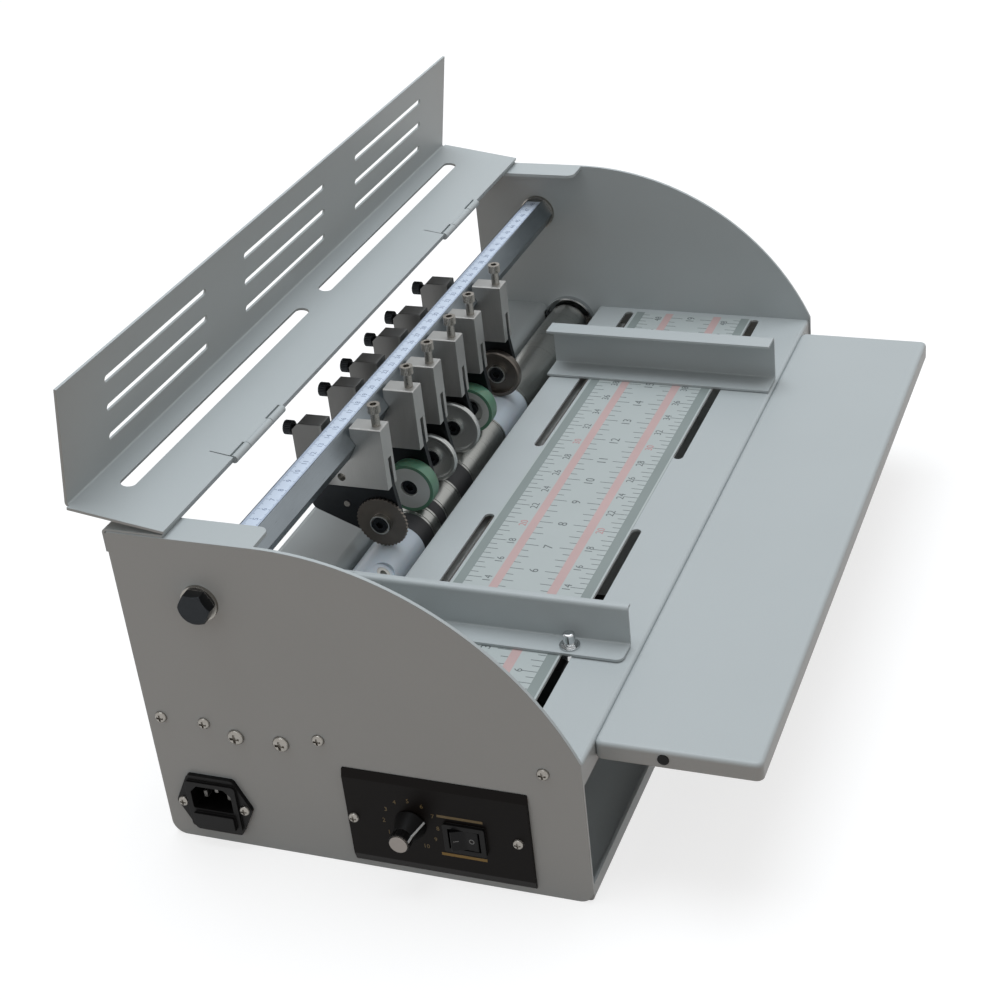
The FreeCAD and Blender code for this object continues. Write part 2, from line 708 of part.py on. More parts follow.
def control_holes(x):
    """Openings behind the panel: switch body, potentiometer bush and panel screws."""
    switch_y = (SWITCH_Y - SWITCH_BODY_HALF[0] - HOLE_FIT, SWITCH_Y + SWITCH_BODY_HALF[0] + HOLE_FIT)
    switch_z = (SWITCH_Z - SWITCH_BODY_HALF[1] - HOLE_FIT, SWITCH_Z + SWITCH_BODY_HALF[1] + HOLE_FIT)
    holes = [block(x, switch_y, switch_z), rod_x(x, (KNOB_Y, KNOB_Z), POT_BUSH_R + HOLE_FIT)]
    holes += [rod_x(x, (y, PANEL_SCREW_Z), M3_R + HOLE_FIT) for y in PANEL_SCREW_Y]
    return holes


def inlet_screw_places():
    """Screw centres of the power inlet, in (y, z)."""
    half = INLET_SCREW_SPACING / 2.0
    return [(INLET_Y - half, INLET_Z), (INLET_Y + half, INLET_Z)]


def make_side_plates():
    """Two bent side plates; the left one also carries the panel and the inlet."""
    plain = plain_side_plate()
    through = (-HALF_WIDTH - CUT, CUT - INNER_X)
    half_y, half_z = (half + HOLE_FIT for half in INLET_BODY_HALF)
    holes = control_holes(through)
    holes.append(block(through, (INLET_Y - half_y, INLET_Y + half_y), (INLET_Z - half_z, INLET_Z + half_z)))
    holes += [rod_x(through, place, M3_R + HOLE_FIT) for place in inlet_screw_places()]
    export("side_plate_left", cut_all(plain, *holes))
    export("side_plate_right", mirrored(plain))


def make_base_pan():
    """Base sheet with a low front lip, a vented rear wall and side flanges."""
    depth = PAN_HALF_DEPTH
    section = folded_sheet([(-depth, PAN_LIP_HEIGHT), (-depth, 0), (depth, 0), (depth, PAN_WALL_HEIGHT)])
    pan = prism_x(section, (-INNER_X, INNER_X))
    side = block((-INNER_X, SHEET_T - INNER_X), (PAN_SIDE_INSET - depth, depth - PAN_SIDE_INSET),
                 (0, PAN_SIDE_HEIGHT))
    pan = join(pan, side, mirrored(side))
    width, height = VENT_SIZE
    wall_y = (depth - SHEET_T - CUT, depth + CUT)
    for index in range(VENT_COUNT):
        x = VENT_CENTRE_INSET - INNER_X + (index - (VENT_COUNT - 1) / 2.0) * VENT_PITCH
        z = (VENT_CENTRE_Z - height / 2.0, VENT_CENTRE_Z + height / 2.0)
        upright = slot(z, (x - width / 2.0, x + width / 2.0))
        pan = pan.cut(prism_y([(v, u, r) for u, v, r in upright], wall_y))
    export("base_pan", pan)


def side_flange(y):
    """Left side flange that hangs from a bed sheet, with its screw holes."""
    flange = block((-INNER_X, SHEET_T - INNER_X), y, (BED_TOP - SIDE_FLANGE_DEPTH, BED_TOP - SHEET_T))
    for screw_y in CASE_SCREW_Y:
        if min(y) < screw_y < max(y):
            through = (-INNER_X - CUT, SHEET_T - INNER_X + CUT)
            flange = flange.cut(rod_x(through, (screw_y, SCREW_LINE_Z), M4_R + HOLE_FIT))
    return flange


def make_bed():
    """Infeed bed with its four guide slots and stiffening angle, and the ruler sheet stuck on it."""
    fold = BED_TOP - BED_FOLD
    section = folded_sheet([(BED_REAR_Y, fold), (BED_REAR_Y, BED_TOP), (BED_FRONT_Y, BED_TOP),
                            (BED_FRONT_Y, fold)])
    bed = prism_x(section, (-INNER_X, INNER_X))
    bed = join(bed, *both_sides([side_flange(BED_FLANGE_Y)]))
    z = (BED_TOP - SHEET_T - CUT, BED_TOP + CUT)
    for across in (FRONT_SLOT, REAR_SLOT):
        bed = cut_all(bed, *[prism_z(slot(along, across), z) for along in BED_SLOTS_X])
    for x in TRAY_SCREW_X:
        y = (BED_FRONT_Y - CUT, BED_FRONT_Y + SHEET_T + CUT)
        bed = bed.cut(rod_y(y, (x, TRAY_SCREW_Z), M4_R + HOLE_FIT))
    ledge_x = (REAR_LEDGE_END_GAP - INNER_X, INNER_X - REAR_LEDGE_END_GAP)
    ledge_z = BED_TOP - REAR_LEDGE_DROP
    inside_y = BED_REAR_Y - SHEET_T
    ledge = prism_x(folded_sheet([(inside_y, fold), (inside_y, ledge_z), (REAR_LEDGE_Y, ledge_z)]), ledge_x)
    export("bed_plate", bed, ledge)
    ruler = block((-RULER_HALF_LENGTH, RULER_HALF_LENGTH), RULER_Y, (BED_TOP, BED_TOP + RULER_T))
    export("ruler_sheet", ruler)


def make_output_plate():
    """Delivery plate behind the roller, with a rounded front edge."""
    rear_y = PAN_HALF_DEPTH - SHEET_T
    section = folded_sheet([(rear_y, BED_TOP - OUTPUT_REAR_FOLD), (rear_y, BED_TOP),
                            (OUTPUT_FRONT_Y, BED_TOP), (OUTPUT_FRONT_Y, BED_TOP - OUTPUT_FRONT_FOLD)],
                           bends=[BEND_R, OUTPUT_FRONT_R])
    plate = prism_x(section, (-INNER_X, INNER_X))
    plate = join(plate, *both_sides([side_flange(OUTPUT_FLANGE_Y)]))
    left_end = (-INNER_X - CUT, OUTPUT_END_NOTCH - INNER_X)
    right_end = (INNER_X - OUTPUT_END_NOTCH, INNER_X + CUT)
    export("output_plate", cut_all(plate, bearing_flange(left_end, SLIDE_GAP),
                                   rod_x(right_end, ROLLER_AXIS, FAR_RING_R + SLIDE_GAP)))


def make_tray():
    """Infeed tray: a shallow upturned box screwed to the bed's front fold."""
    def shell(inset, corner_r, edge_r, bottom):
        x = (inset - TRAY_HALF_WIDTH, TRAY_HALF_WIDTH - inset)
        y = (BED_FRONT_Y - TRAY_LENGTH + inset, BED_FRONT_Y - inset)
        body = prism_z(rectangle(x, y, corner_r), (bottom, BED_TOP - inset))
        rim = [e for e in body.Edges if e.BoundBox.ZMin > BED_TOP - inset - TINY]
        return body.makeFillet(edge_r, rim)

    tray = shell(0.0, TRAY_CORNER_R, TRAY_EDGE_R, BED_TOP - TRAY_DEPTH)
    hollow = shell(TRAY_T, TRAY_CORNER_R - TRAY_T, TRAY_EDGE_R - TRAY_T, BED_TOP - TRAY_DEPTH - CUT)
    end_hole = rod_x((-TRAY_HALF_WIDTH - CUT, TRAY_T + CUT - TRAY_HALF_WIDTH),
                     (TRAY_HOLE_Y, BED_TOP - TRAY_DEPTH / 2.0), TRAY_HOLE_R)
    tray = cut_all(tray, hollow, end_hole)
    for x in TRAY_SCREW_X:
        y = (BED_FRONT_Y - TRAY_T - CUT, BED_FRONT_Y + CUT)
        tray = tray.cut(rod_y(y, (x, TRAY_SCREW_Z), M4_R + HOLE_FIT))
    centre = (TRAY_HOLE_Y, BED_TOP - TRAY_DEPTH / 2.0)
    plug = join(rod_x((-TRAY_HALF_WIDTH - TRAY_PLUG_HEAD, -TRAY_HALF_WIDTH), centre, TRAY_PLUG_R),
                rod_x((-TRAY_HALF_WIDTH, TRAY_T - TRAY_HALF_WIDTH), centre, TRAY_HOLE_R - PRESS_GAP))
    export("infeed_tray", tray, plug)


def make_case_screws():
    """Screws and nuts of the bed, delivery plate and tray."""
    pieces = []
    for y in CASE_SCREW_Y:
        pieces += screw_and_nut(-HALF_WIDTH, SHEET_T - INNER_X, (y, SCREW_LINE_Z), M4)
    pieces = both_sides(pieces)
    for x in TRAY_SCREW_X:
        for piece in screw_and_nut(BED_FRONT_Y - TRAY_T, BED_FRONT_Y + SHEET_T, (0.0, TRAY_SCREW_Z), M4):
            piece.rotate(V(0, 0, 0), V(0, 0, 1), 90.0)
            piece.translate(V(x, 0, 0))
            pieces.append(piece)
    export("case_screws", *pieces)


# ---------------------------------------------------------------- rail and cover
def knuckle_limits(centre):
    """X limits of the outer knuckles and the middle one of a hinge."""
    left = centre - HINGE_LENGTH / 2.0
    right = centre + HINGE_LENGTH / 2.0
    inner = (left + KNUCKLE_LENGTH, right - KNUCKLE_LENGTH)
    return [(left, inner[0]), (inner[1], right)], (inner[0] + KNUCKLE_GAP, inner[1] - KNUCKLE_GAP)


def make_top_rail():
    """Rear rail on the plates' flanges, with its rolled hinge knuckles and the two pins."""
    top = PLATE_HEIGHT + SHEET_T
    front_y = HINGE_Y + RAIL_SETBACK
    section = folded_sheet([(HALF_DEPTH + SHEET_T, top - RAIL_LIP_DEPTH), (HALF_DEPTH + SHEET_T, top),
                            (front_y, top)])
    rail = prism_x(section, (-RAIL_HALF_LENGTH, RAIL_HALF_LENGTH))
    axis = (HINGE_Y, HINGE_Z)
    sweep = BARREL_R + KNUCKLE_GAP
    pins = []
    for centre in HINGE_X:
        outer, middle = knuckle_limits(centre)
        room = (middle[0] - KNUCKLE_GAP, middle[1] + KNUCKLE_GAP)
        rail = rail.cut(block(room, (front_y - CUT, HINGE_Y + sweep), (PLATE_HEIGHT - CUT, top + CUT)))
        for x in outer:
            tongue = block(x, (HINGE_Y, front_y + CUT), (PLATE_HEIGHT, top))
            rail = join(rail, tongue, rod_x(x, axis, BARREL_R))
        whole = (centre - HINGE_LENGTH / 2.0, centre + HINGE_LENGTH / 2.0)
        rail = rail.cut(rod_x((whole[0] - CUT, whole[1] + CUT), axis, HINGE_PIN_R + PIN_FIT))
        pins.append(rod_x(whole, axis, HINGE_PIN_R))
    export("top_rail", rail, *pins)


def make_cover():
    """Hinged cover: drawn closed, level with its front leaf hanging, then swung open."""
    top = HINGE_Z - LEAF_DROP
    bottom = top - SHEET_T
    front_y = HINGE_Y - COVER_DEPTH
    leaf = prism_z(rectangle((-RAIL_HALF_LENGTH, RAIL_HALF_LENGTH), (front_y + SHEET_T + BEND_R, HINGE_Y)),
                   (bottom, top))
    section = folded_sheet([(HINGE_Y, top), (front_y, top), (front_y, top - COVER_FRONT_HEIGHT)])
    front = prism_x(section, (-COVER_FRONT_HALF, COVER_FRONT_HALF))
    cover = join(leaf, front)
    z = (bottom - CUT, top + CUT)
    across = (HINGE_Y - COVER_SLOT_S[1], HINGE_Y - COVER_SLOT_S[0])
    long_slot = prism_z(slot(COVER_SLOT_X, across), z)
    cover = cut_all(cover, long_slot, mirrored(long_slot))
    for column in (-1, 0, 1):
        for height in LOUVRE_HEIGHTS:
            x = (column * LOUVRE_PITCH - LOUVRE_LENGTH / 2.0, column * LOUVRE_PITCH + LOUVRE_LENGTH / 2.0)
            louvre_z = (top - height - LOUVRE_WIDTH / 2.0, top - height + LOUVRE_WIDTH / 2.0)
            cover = cover.cut(prism_y(slot(x, louvre_z), (front_y - CUT, front_y + SHEET_T + CUT)))
    axis = (HINGE_Y, HINGE_Z)
    room_y = HINGE_Y - BARREL_R - KNUCKLE_GAP
    for centre in HINGE_X:
        outer, middle = knuckle_limits(centre)
        for x in outer:
            room = (min(x) - KNUCKLE_GAP, max(x) + KNUCKLE_GAP)
            cover = cover.cut(block(room, (room_y, HINGE_Y + CUT), z))
        relief_x = min(outer[0]) - KNUCKLE_GAP
        relief = (relief_x, relief_x + RELIEF_WIDTH)
        cover = cover.cut(block(relief, (HINGE_Y - RELIEF_LENGTH, HINGE_Y), z))
        cover = join(cover, rod_x(middle, axis, BARREL_R))
        whole = (min(middle) - CUT, max(middle) + CUT)
        cover = cover.cut(rod_x(whole, axis, HINGE_PIN_R + PIN_FIT))
    cover.rotate(V(0, *axis), V(1, 0, 0), COVER_TILT - 180.0)
    export("cover", cover)


# ---------------------------------------------------------------- tool bar
def make_tool_bar():
    """Hexagonal bar, its bolts, washers and spacers, and the scale tape on its top flat."""
    centre = (BAR_Y, BAR_Z)
    bar = prism_x(hexagon(BAR_AF, centre), (-BAR_END_X, BAR_END_X))
    bore = rod_x((-BAR_END_X - CUT, BAR_BOLT_DEPTH + PIN_FIT - BAR_END_X), centre, BAR_BOLT_R + PIN_FIT)
    export("hex_bar", cut_all(bar, bore, mirrored(bore)))

    washer_x = -HALF_WIDTH - WASHER_T
    head = prism_x(hexagon(BAR_BOLT_AF, centre), (washer_x - BAR_BOLT_HEAD, washer_x))
    crown = rod_x((washer_x - BAR_BOLT_HEAD, washer_x), centre, BAR_BOLT_AF / math.sqrt(3.0))
    rim = [e for e in crown.Edges if abs(e.BoundBox.XMax - (washer_x - BAR_BOLT_HEAD)) < TINY]
    head = head.common(crown.makeChamfer(BAR_BOLT_CHAMFER, rim))
    bolt = join(head, rod_x((washer_x, BAR_BOLT_DEPTH - BAR_END_X), centre, BAR_BOLT_R))
    washer = tube_x((washer_x, -HALF_WIDTH), centre, WASHER_R, BAR_BOLT_R + HOLE_FIT)
    spacer = tube_x((-INNER_X, -BAR_END_X), centre, SPACER_R, BAR_BOLT_R + HOLE_FIT)
    export("bar_bolts", *both_sides([bolt, washer, spacer]))

    top = BAR_Z + BAR_AF / 2.0
    tape_y = (BAR_Y - TAPE_WIDTH / 2.0, BAR_Y + TAPE_WIDTH / 2.0)
    export("scale_tape", block((-TAPE_HALF_LENGTH, TAPE_HALF_LENGTH), tape_y, (top, top + TAPE_T)))


# ---------------------------------------------------------------- lower roller
def radial_rod(x, angle, start, end, radius):
    """Cylinder that points out of the roller at an angle from the vertical, towards the infeed."""
    turn = math.radians(angle)
    out = V(0, -math.sin(turn), math.cos(turn))
    return Part.makeCylinder(radius, end - start, V(x, *ROLLER_AXIS) + out * start, out)


def make_pulley(centre, bore):
    """Flanged belt pulley about a (y, z) centre."""
    left, right = PULLEY_X
    pulley = join(rod_x(PULLEY_X, centre, PULLEY_R),
                  rod_x((left, left + PULLEY_FLANGE_T), centre, PULLEY_FLANGE_R),
                  rod_x((right - PULLEY_FLANGE_T, right), centre, PULLEY_FLANGE_R))
    return pulley.cut(rod_x((left - CUT, right + CUT), centre, bore + PRESS_GAP))


def make_roller():
    """Lower roller: shaft with its pulley, and the sleeves that it carries."""
    shaft_end = INNER_X - SHAFT_END_GAP
    shaft = rod_x((-shaft_end, shaft_end), ROLLER_AXIS, SHAFT_R)
    recess_floor = ROLLER_R - LOCK_RECESS_DEPTH
    head_floor = recess_floor - LOCK_HEAD_H
    lock = radial_rod(LOCK_SCREW_X, LOCK_SCREW_ANGLE, head_floor, recess_floor, LOCK_HEAD_R)
    socket = radial_rod(LOCK_SCREW_X, LOCK_SCREW_ANGLE, recess_floor - LOCK_SOCKET_DEPTH,
                        recess_floor + CUT, LOCK_SOCKET_R)
    export("roller_shaft", shaft, make_pulley(ROLLER_AXIS, SHAFT_R), lock.cut(socket))

    sleeves = {"nylon": [], "rubber": [], "steel": []}
    start = ROLLER_LEFT_GAP - INNER_X
    for end, material in SLEEVES:
        sleeve = tube_x((start, end), ROLLER_AXIS, ROLLER_R, SHAFT_R + PRESS_GAP)
        if material == "steel":
            for x in (start + GROOVE_INSET, end - GROOVE_INSET - GROOVE_WIDTH):
                groove = tube_x((x, x + GROOVE_WIDTH), ROLLER_AXIS, ROLLER_R + CUT, ROLLER_R - GROOVE_DEPTH)
                sleeve = sleeve.cut(groove)
        if start < LOCK_SCREW_X < end:
            sleeve = cut_all(sleeve,
                             radial_rod(LOCK_SCREW_X, LOCK_SCREW_ANGLE, recess_floor, ROLLER_R + CUT,
                                        LOCK_RECESS_R),
                             radial_rod(LOCK_SCREW_X, LOCK_SCREW_ANGLE, head_floor, ROLLER_R,
                                        LOCK_HEAD_R + PRESS_GAP))
        sleeves[material].append(sleeve)
        start = end
    for material, pieces in sleeves.items():
        export("roller_" + material, *pieces)


def make_bearings():
    """Flanged bearing on the left plate, ringed bearing on the right one, and their screws."""
    through = (-INNER_X - CUT, BEARING_HOUSING_T + CUT - INNER_X)
    bearing_x = (-INNER_X, BEARING_HOUSING_T - INNER_X)
    holes = [rod_x(through, ROLLER_AXIS, BEARING_OUTER_R + PRESS_GAP)]
    holes += [rod_x(through, place, M5_R + HOLE_FIT) for place in bearing_screw_places()]
    flange = bearing_flange((-INNER_X, BEARING_FLANGE_T - INNER_X))
    housing = cut_all(join(flange, rod_x(bearing_x, ROLLER_AXIS, BEARING_BOSS_R)), *holes)
    race = tube_x(bearing_x, ROLLER_AXIS, BEARING_OUTER_R, SHAFT_R + PIN_FIT)
    pieces = [housing, race]
    for place in bearing_screw_places():
        pieces += screw_and_nut(-HALF_WIDTH, BEARING_FLANGE_T - INNER_X, place, M5)

    ring_x = (INNER_X - FAR_RING_T, INNER_X)
    ring = rod_x(ring_x, ROLLER_AXIS, FAR_RING_R)
    recess = rod_x((ring_x[0] - CUT, INNER_X - FAR_RING_FLOOR), ROLLER_AXIS, FAR_RING_R - FAR_RING_WALL)
    boss = rod_x(ring_x, ROLLER_AXIS, BEARING_BOSS_R)
    ring = join(ring.cut(recess), boss)
    pieces.append(cut_all(ring, *[mirrored(hole) for hole in holes]))
    pieces.append(tube_x(ring_x, ROLLER_AXIS, BEARING_OUTER_R, SHAFT_R + PIN_FIT))
    for place in bearing_screw_places():
        for piece in screw_and_nut(-HALF_WIDTH, FAR_RING_FLOOR - INNER_X, place, M5):
            pieces.append(mirrored(piece))
    export("roller_bearings", *pieces)


# ---------------------------------------------------------------- drive
def belt_loop(radius, x):
    """Stadium-shaped solid round both pulleys."""
    low, high = MOTOR_SHAFT_Z, ROLLER_Z
    straight = block(x, (ROLLER_Y - radius, ROLLER_Y + radius), (low, high))
    return join(straight, rod_x(x, (ROLLER_Y, low), radius), rod_x(x, ROLLER_AXIS, radius))


def make_drive():
    """Gear motor on its bracket, its shaft and pulley, and the belt."""
    centre = (ROLLER_Y, MOTOR_SHAFT_Z)
    gearbox_x = BRACKET_X + BRACKET_T
    gearbox = prism_x(rectangle((ROLLER_Y - GEARBOX_HALF, ROLLER_Y + GEARBOX_HALF),
                                (MOTOR_SHAFT_Z - GEARBOX_HALF, MOTOR_SHAFT_Z + GEARBOX_HALF),
                                GEARBOX_CORNER_R),
                      (gearbox_x, MOTOR_CAN_X))
    boss = rod_x((BRACKET_X, gearbox_x), centre, GEARBOX_BOSS_R)
    shaft_end = gearbox_x + MOTOR_SHAFT_DEPTH
    bore = rod_x((BRACKET_X - CUT, shaft_end + PIN_FIT), centre, MOTOR_SHAFT_R + PIN_FIT)
    can_end = MOTOR_CAN_X + MOTOR_CAN_LENGTH
    can = rod_x((MOTOR_CAN_X, can_end), centre, MOTOR_CAN_R)
    rim = [e for e in can.Edges if e.BoundBox.XMin > can_end - TINY]
    can = can.makeFillet(MOTOR_CAN_EDGE_R, rim)
    cap = rod_x((can_end, MOTOR_END_X), centre, MOTOR_CAP_R)
    floor = SHEET_T
    section = folded_sheet([(BRACKET_X, floor + BRACKET_HEIGHT), (BRACKET_X, floor),
                            (BRACKET_X + BRACKET_BASE, floor)], BRACKET_T)
    bracket = prism_y(section, (ROLLER_Y - BRACKET_HALF_DEPTH, ROLLER_Y + BRACKET_HALF_DEPTH))
    bracket = bracket.cut(rod_x((BRACKET_X - CUT, gearbox_x + CUT), centre, GEARBOX_BOSS_R + HOLE_FIT))
    export("gear_motor", join(gearbox, boss).cut(bore), join(can, cap), bracket)

    shaft = rod_x((PULLEY_X[0] - CUT, shaft_end), centre, MOTOR_SHAFT_R)
    export("motor_pulley", make_pulley(centre, MOTOR_SHAFT_R), shaft)

    belt_x = (PULLEY_X[0] + PULLEY_FLANGE_T + SLIDE_GAP, PULLEY_X[1] - PULLEY_FLANGE_T - SLIDE_GAP)
    inner_r = PULLEY_R + SLIDE_GAP
    past = (belt_x[0] - CUT, belt_x[1] + CUT)
    export("drive_belt", belt_loop(inner_r + BELT_T, belt_x).cut(belt_loop(inner_r, past)))


# ---------------------------------------------------------------- controls
def make_control_panel():
    """Black panel with the switch housing and the panel screws."""
    plate_x = (PANEL_FACE_X, -HALF_WIDTH)
    panel = prism_x(rectangle(PANEL_Y, PANEL_Z, PANEL_CORNER_R), plate_x)
    depth, height = PANEL_BEVEL
    low, high = PANEL_Z
    profile = [(PANEL_FACE_X, low + height), (PANEL_FACE_X, high - height), (PANEL_FACE_X + depth, high),
               (-HALF_WIDTH, high), (-HALF_WIDTH, low), (PANEL_FACE_X + depth, low)]
    panel = panel.common(prism_y(profile, PANEL_Y))
    panel = cut_all(panel, *control_holes((PANEL_FACE_X - CUT, CUT - HALF_WIDTH)))

    def centred(half_y, half_z, x):
        return block(x, (SWITCH_Y - half_y, SWITCH_Y + half_y), (SWITCH_Z - half_z, SWITCH_Z + half_z))

    front = PANEL_FACE_X - BEZEL_T
    bezel = prism_x(rectangle((SWITCH_Y - BEZEL_HALF[0], SWITCH_Y + BEZEL_HALF[0]),
                              (SWITCH_Z - BEZEL_HALF[1], SWITCH_Z + BEZEL_HALF[1]), BEZEL_CORNER_R),
                    (front, PANEL_FACE_X))
    housing = join(bezel, centred(*SWITCH_BODY_HALF, (PANEL_FACE_X, PANEL_FACE_X + SWITCH_BODY_DEPTH)))
    cavity = centred(*SWITCH_OPENING_HALF, (front - CUT, PANEL_FACE_X + SWITCH_CAVITY_DEPTH))
    reach = SWITCH_OPENING_HALF[1] + ROCKER_PIVOT_LENGTH
    pivots = rod_z((SWITCH_Z - reach, SWITCH_Z + reach), (PANEL_FACE_X, SWITCH_Y), ROCKER_PIVOT_R + PIN_FIT)
    pieces = [panel, cut_all(housing, cavity, pivots)]
    for y in PANEL_SCREW_Y:
        pieces += screw_and_nut(PANEL_FACE_X, -INNER_X, (y, PANEL_SCREW_Z), M3)
    export("control_panel", *pieces)


def make_switch_rocker():
    """Rocker with a dished face, tilted to its off side, on two pivot stubs."""
    tip = PANEL_FACE_X - BEZEL_T - ROCKER_RISE
    half = ROCKER_HALF_LENGTH
    root, root_half, edge = PANEL_FACE_X + ROCKER_ROOT, ROCKER_ROOT_HALF, ROCKER_EDGE_R
    points = [(root, SWITCH_Y - root_half), (root, SWITCH_Y + root_half),
              (PANEL_FACE_X, SWITCH_Y + half, edge), (tip, SWITCH_Y + half, edge),
              (tip + ROCKER_DIP, SWITCH_Y, ROCKER_DISH_R), (tip, SWITCH_Y - half, edge),
              (PANEL_FACE_X, SWITCH_Y - half, edge)]
    half_height = SWITCH_OPENING_HALF[1] - SLIDE_GAP
    rocker = prism_z(points, (SWITCH_Z - half_height, SWITCH_Z + half_height))
    reach = SWITCH_OPENING_HALF[1] + ROCKER_PIVOT_LENGTH - PIN_FIT
    pivot = rod_z((SWITCH_Z - reach, SWITCH_Z + reach), (PANEL_FACE_X, SWITCH_Y), ROCKER_PIVOT_R)
    rocker = join(rocker, pivot)
    rocker.rotate(V(PANEL_FACE_X, SWITCH_Y, SWITCH_Z), V(0, 0, 1), ROCKER_TILT)
    export("switch_rocker", rocker)


def make_speed_knob():
    """Fluted knob on a flared skirt, with a light cap and the potentiometer shaft that turns with it."""
    centre = (KNOB_Y, KNOB_Z)
    base = PANEL_FACE_X - POT_BUSH_PAST_PANEL - SLIDE_GAP
    end = base - KNOB_LENGTH
    skirt = Part.makeCone(KNOB_SKIRT_R, KNOB_R, KNOB_SKIRT_H, V(base, *centre), V(-1, 0, 0))
    grip = prism_x(star(KNOB_R, KNOB_R - KNOB_FLUTE_DEPTH, KNOB_FLUTES, centre), (end, base - KNOB_SKIRT_H))
    knob = join(skirt, grip)
    knob = knob.cut(rod_x((base - POT_SHAFT_REACH, base + CUT), centre, POT_SHAFT_R + PRESS_GAP))
    cap = rod_x((end - KNOB_CAP_T, end), centre, KNOB_CAP_R)
    shaft = rod_x((base - POT_SHAFT_REACH, -INNER_X), centre, POT_SHAFT_R)
    export("speed_knob", knob, cap, shaft)


def make_power_inlet():
    """Three-pin appliance inlet with a six-sided flange, and its two screws."""
    def at(y, z, radius=0.0):
        return (INLET_Y + y, INLET_Z + z, radius)

    r = INLET_CORNER_R
    flange_points = [at(-INLET_HALF_TOP, INLET_HALF_HEIGHT, r), at(-INLET_HALF_WIDTH, 0, r),
                     at(-INLET_HALF_TOP, -INLET_HALF_HEIGHT, r), at(INLET_HALF_TOP, -INLET_HALF_HEIGHT, r),
                     at(INLET_HALF_WIDTH, 0, r), at(INLET_HALF_TOP, INLET_HALF_HEIGHT, r)]
    face = -HALF_WIDTH - INLET_FLANGE_T
    flange = prism_x(flange_points, (face, -HALF_WIDTH))

    def centred(half, x, radius=0.0, rise=0.0):
        return prism_x([at(-half[0], rise - half[1], radius), at(half[0], rise - half[1], radius),
                        at(half[0], rise + half[1], radius), at(-half[0], rise + half[1], radius)], x)

    rim = centred(INLET_RIM_HALF, (face - INLET_RIM_T, face), INLET_RIM_R)
    body = centred(INLET_BODY_HALF, (-HALF_WIDTH, INLET_BODY_DEPTH - HALF_WIDTH))
    half_y, half_z = INLET_SOCKET_HALF
    low, high = INLET_SOCKET_RISE - half_z, INLET_SOCKET_RISE + half_z
    c, r = INLET_SOCKET_CHAMFER, INLET_SOCKET_R
    front = face - INLET_RIM_T
    socket = prism_x([at(-half_y, low, r), at(half_y, low, r), at(half_y, high - c, r),
                      at(half_y - c, high, r), at(c - half_y, high, r), at(-half_y, high - c, r)],
                     (front - CUT, front + INLET_SOCKET_DEPTH))
    drawer = centred(FUSE_DRAWER_HALF, (front - FUSE_DRAWER_T, front), FUSE_DRAWER_R, -FUSE_DRAWER_DROP)
    through = (face - CUT, CUT - HALF_WIDTH)
    holes = [rod_x(through, place, M3_R + HOLE_FIT) for place in inlet_screw_places()]
    pieces = [cut_all(join(flange, rim, body), socket, *holes), drawer]
    thickness, width, length = INLET_PIN
    floor = front + INLET_SOCKET_DEPTH
    for step, rise in ((-1, -INLET_PIN_RISE), (0, INLET_PIN_RISE), (1, -INLET_PIN_RISE)):
        y = INLET_Y + step * INLET_PIN_PITCH
        z = INLET_Z + INLET_SOCKET_RISE + rise
        pieces.append(block((floor - length, floor), (y - thickness / 2.0, y + thickness / 2.0),
                            (z - width / 2.0, z + width / 2.0)))
    for place in inlet_screw_places():
        pieces += screw_and_nut(face, -INNER_X, place, M3)
    export("power_inlet", *pieces)


def make_electronics():
    """Speed controller board on its stand-offs, and the potentiometer behind the panel."""
    board_z = SHEET_T + STANDOFF_H
    pieces = [block(BOARD_X, BOARD_Y, (board_z, board_z + BOARD_T))]
    for x in (BOARD_X[0] + STANDOFF_INSET, BOARD_X[1] - STANDOFF_INSET):
        for y in (BOARD_Y[0] + STANDOFF_INSET, BOARD_Y[1] - STANDOFF_INSET):
            pieces.append(rod_z((SHEET_T, board_z), (x, y), STANDOFF_R))
    top = board_z + BOARD_T

    def standing(size, x, y):
        return block((x, x + size[0]), (y, y + size[1]), (top, top + size[2]))

    left, front = BOARD_X[0] + BOARD_MARGIN, BOARD_Y[0] + BOARD_MARGIN
    pieces.append(standing(TRANSFORMER_SIZE, left, front))
    pieces.append(standing(HEATSINK_SIZE, BOARD_X[1] - BOARD_MARGIN, front))
    pieces.append(standing(RELAY_SIZE, left + TRANSFORMER_SIZE[0] + BOARD_MARGIN, front))
    capacitor_y = BOARD_Y[1] - BOARD_MARGIN
    for step in range(CAPACITOR_COUNT):
        x = left + CAPACITOR_R + step * CAPACITOR_PITCH
        pieces.append(rod_z((top, top + CAPACITOR_H), (x, capacitor_y), CAPACITOR_R))
    centre = (KNOB_Y, KNOB_Z)
    body = rod_x((-INNER_X, POT_BODY_LENGTH - INNER_X), centre, POT_BODY_R)
    bush = rod_x((PANEL_FACE_X - POT_BUSH_PAST_PANEL, -INNER_X), centre, POT_BUSH_R)
    bore = rod_x((PANEL_FACE_X - CUT, PIN_FIT - INNER_X), centre, POT_SHAFT_R + PIN_FIT)
    pieces.append(join(body, bush).cut(bore))
    export("electronics", *pieces)


# ---------------------------------------------------------------- side guides
def foot_corner(x, y, toward_x, toward_y):
    """Cutter that rounds a guide foot's corner; the signs point to its inside."""
    r = GUIDE_FOOT_CORNER_R
    z = (GUIDE_FOOT_Z - CUT, GUIDE_FOOT_Z + SHEET_T + CUT)
    square = block((x, x + toward_x * r), (y, y + toward_y * r), z)
    return square.cut(rod_z(z, (x + toward_x * r, y + toward_y * r), r))


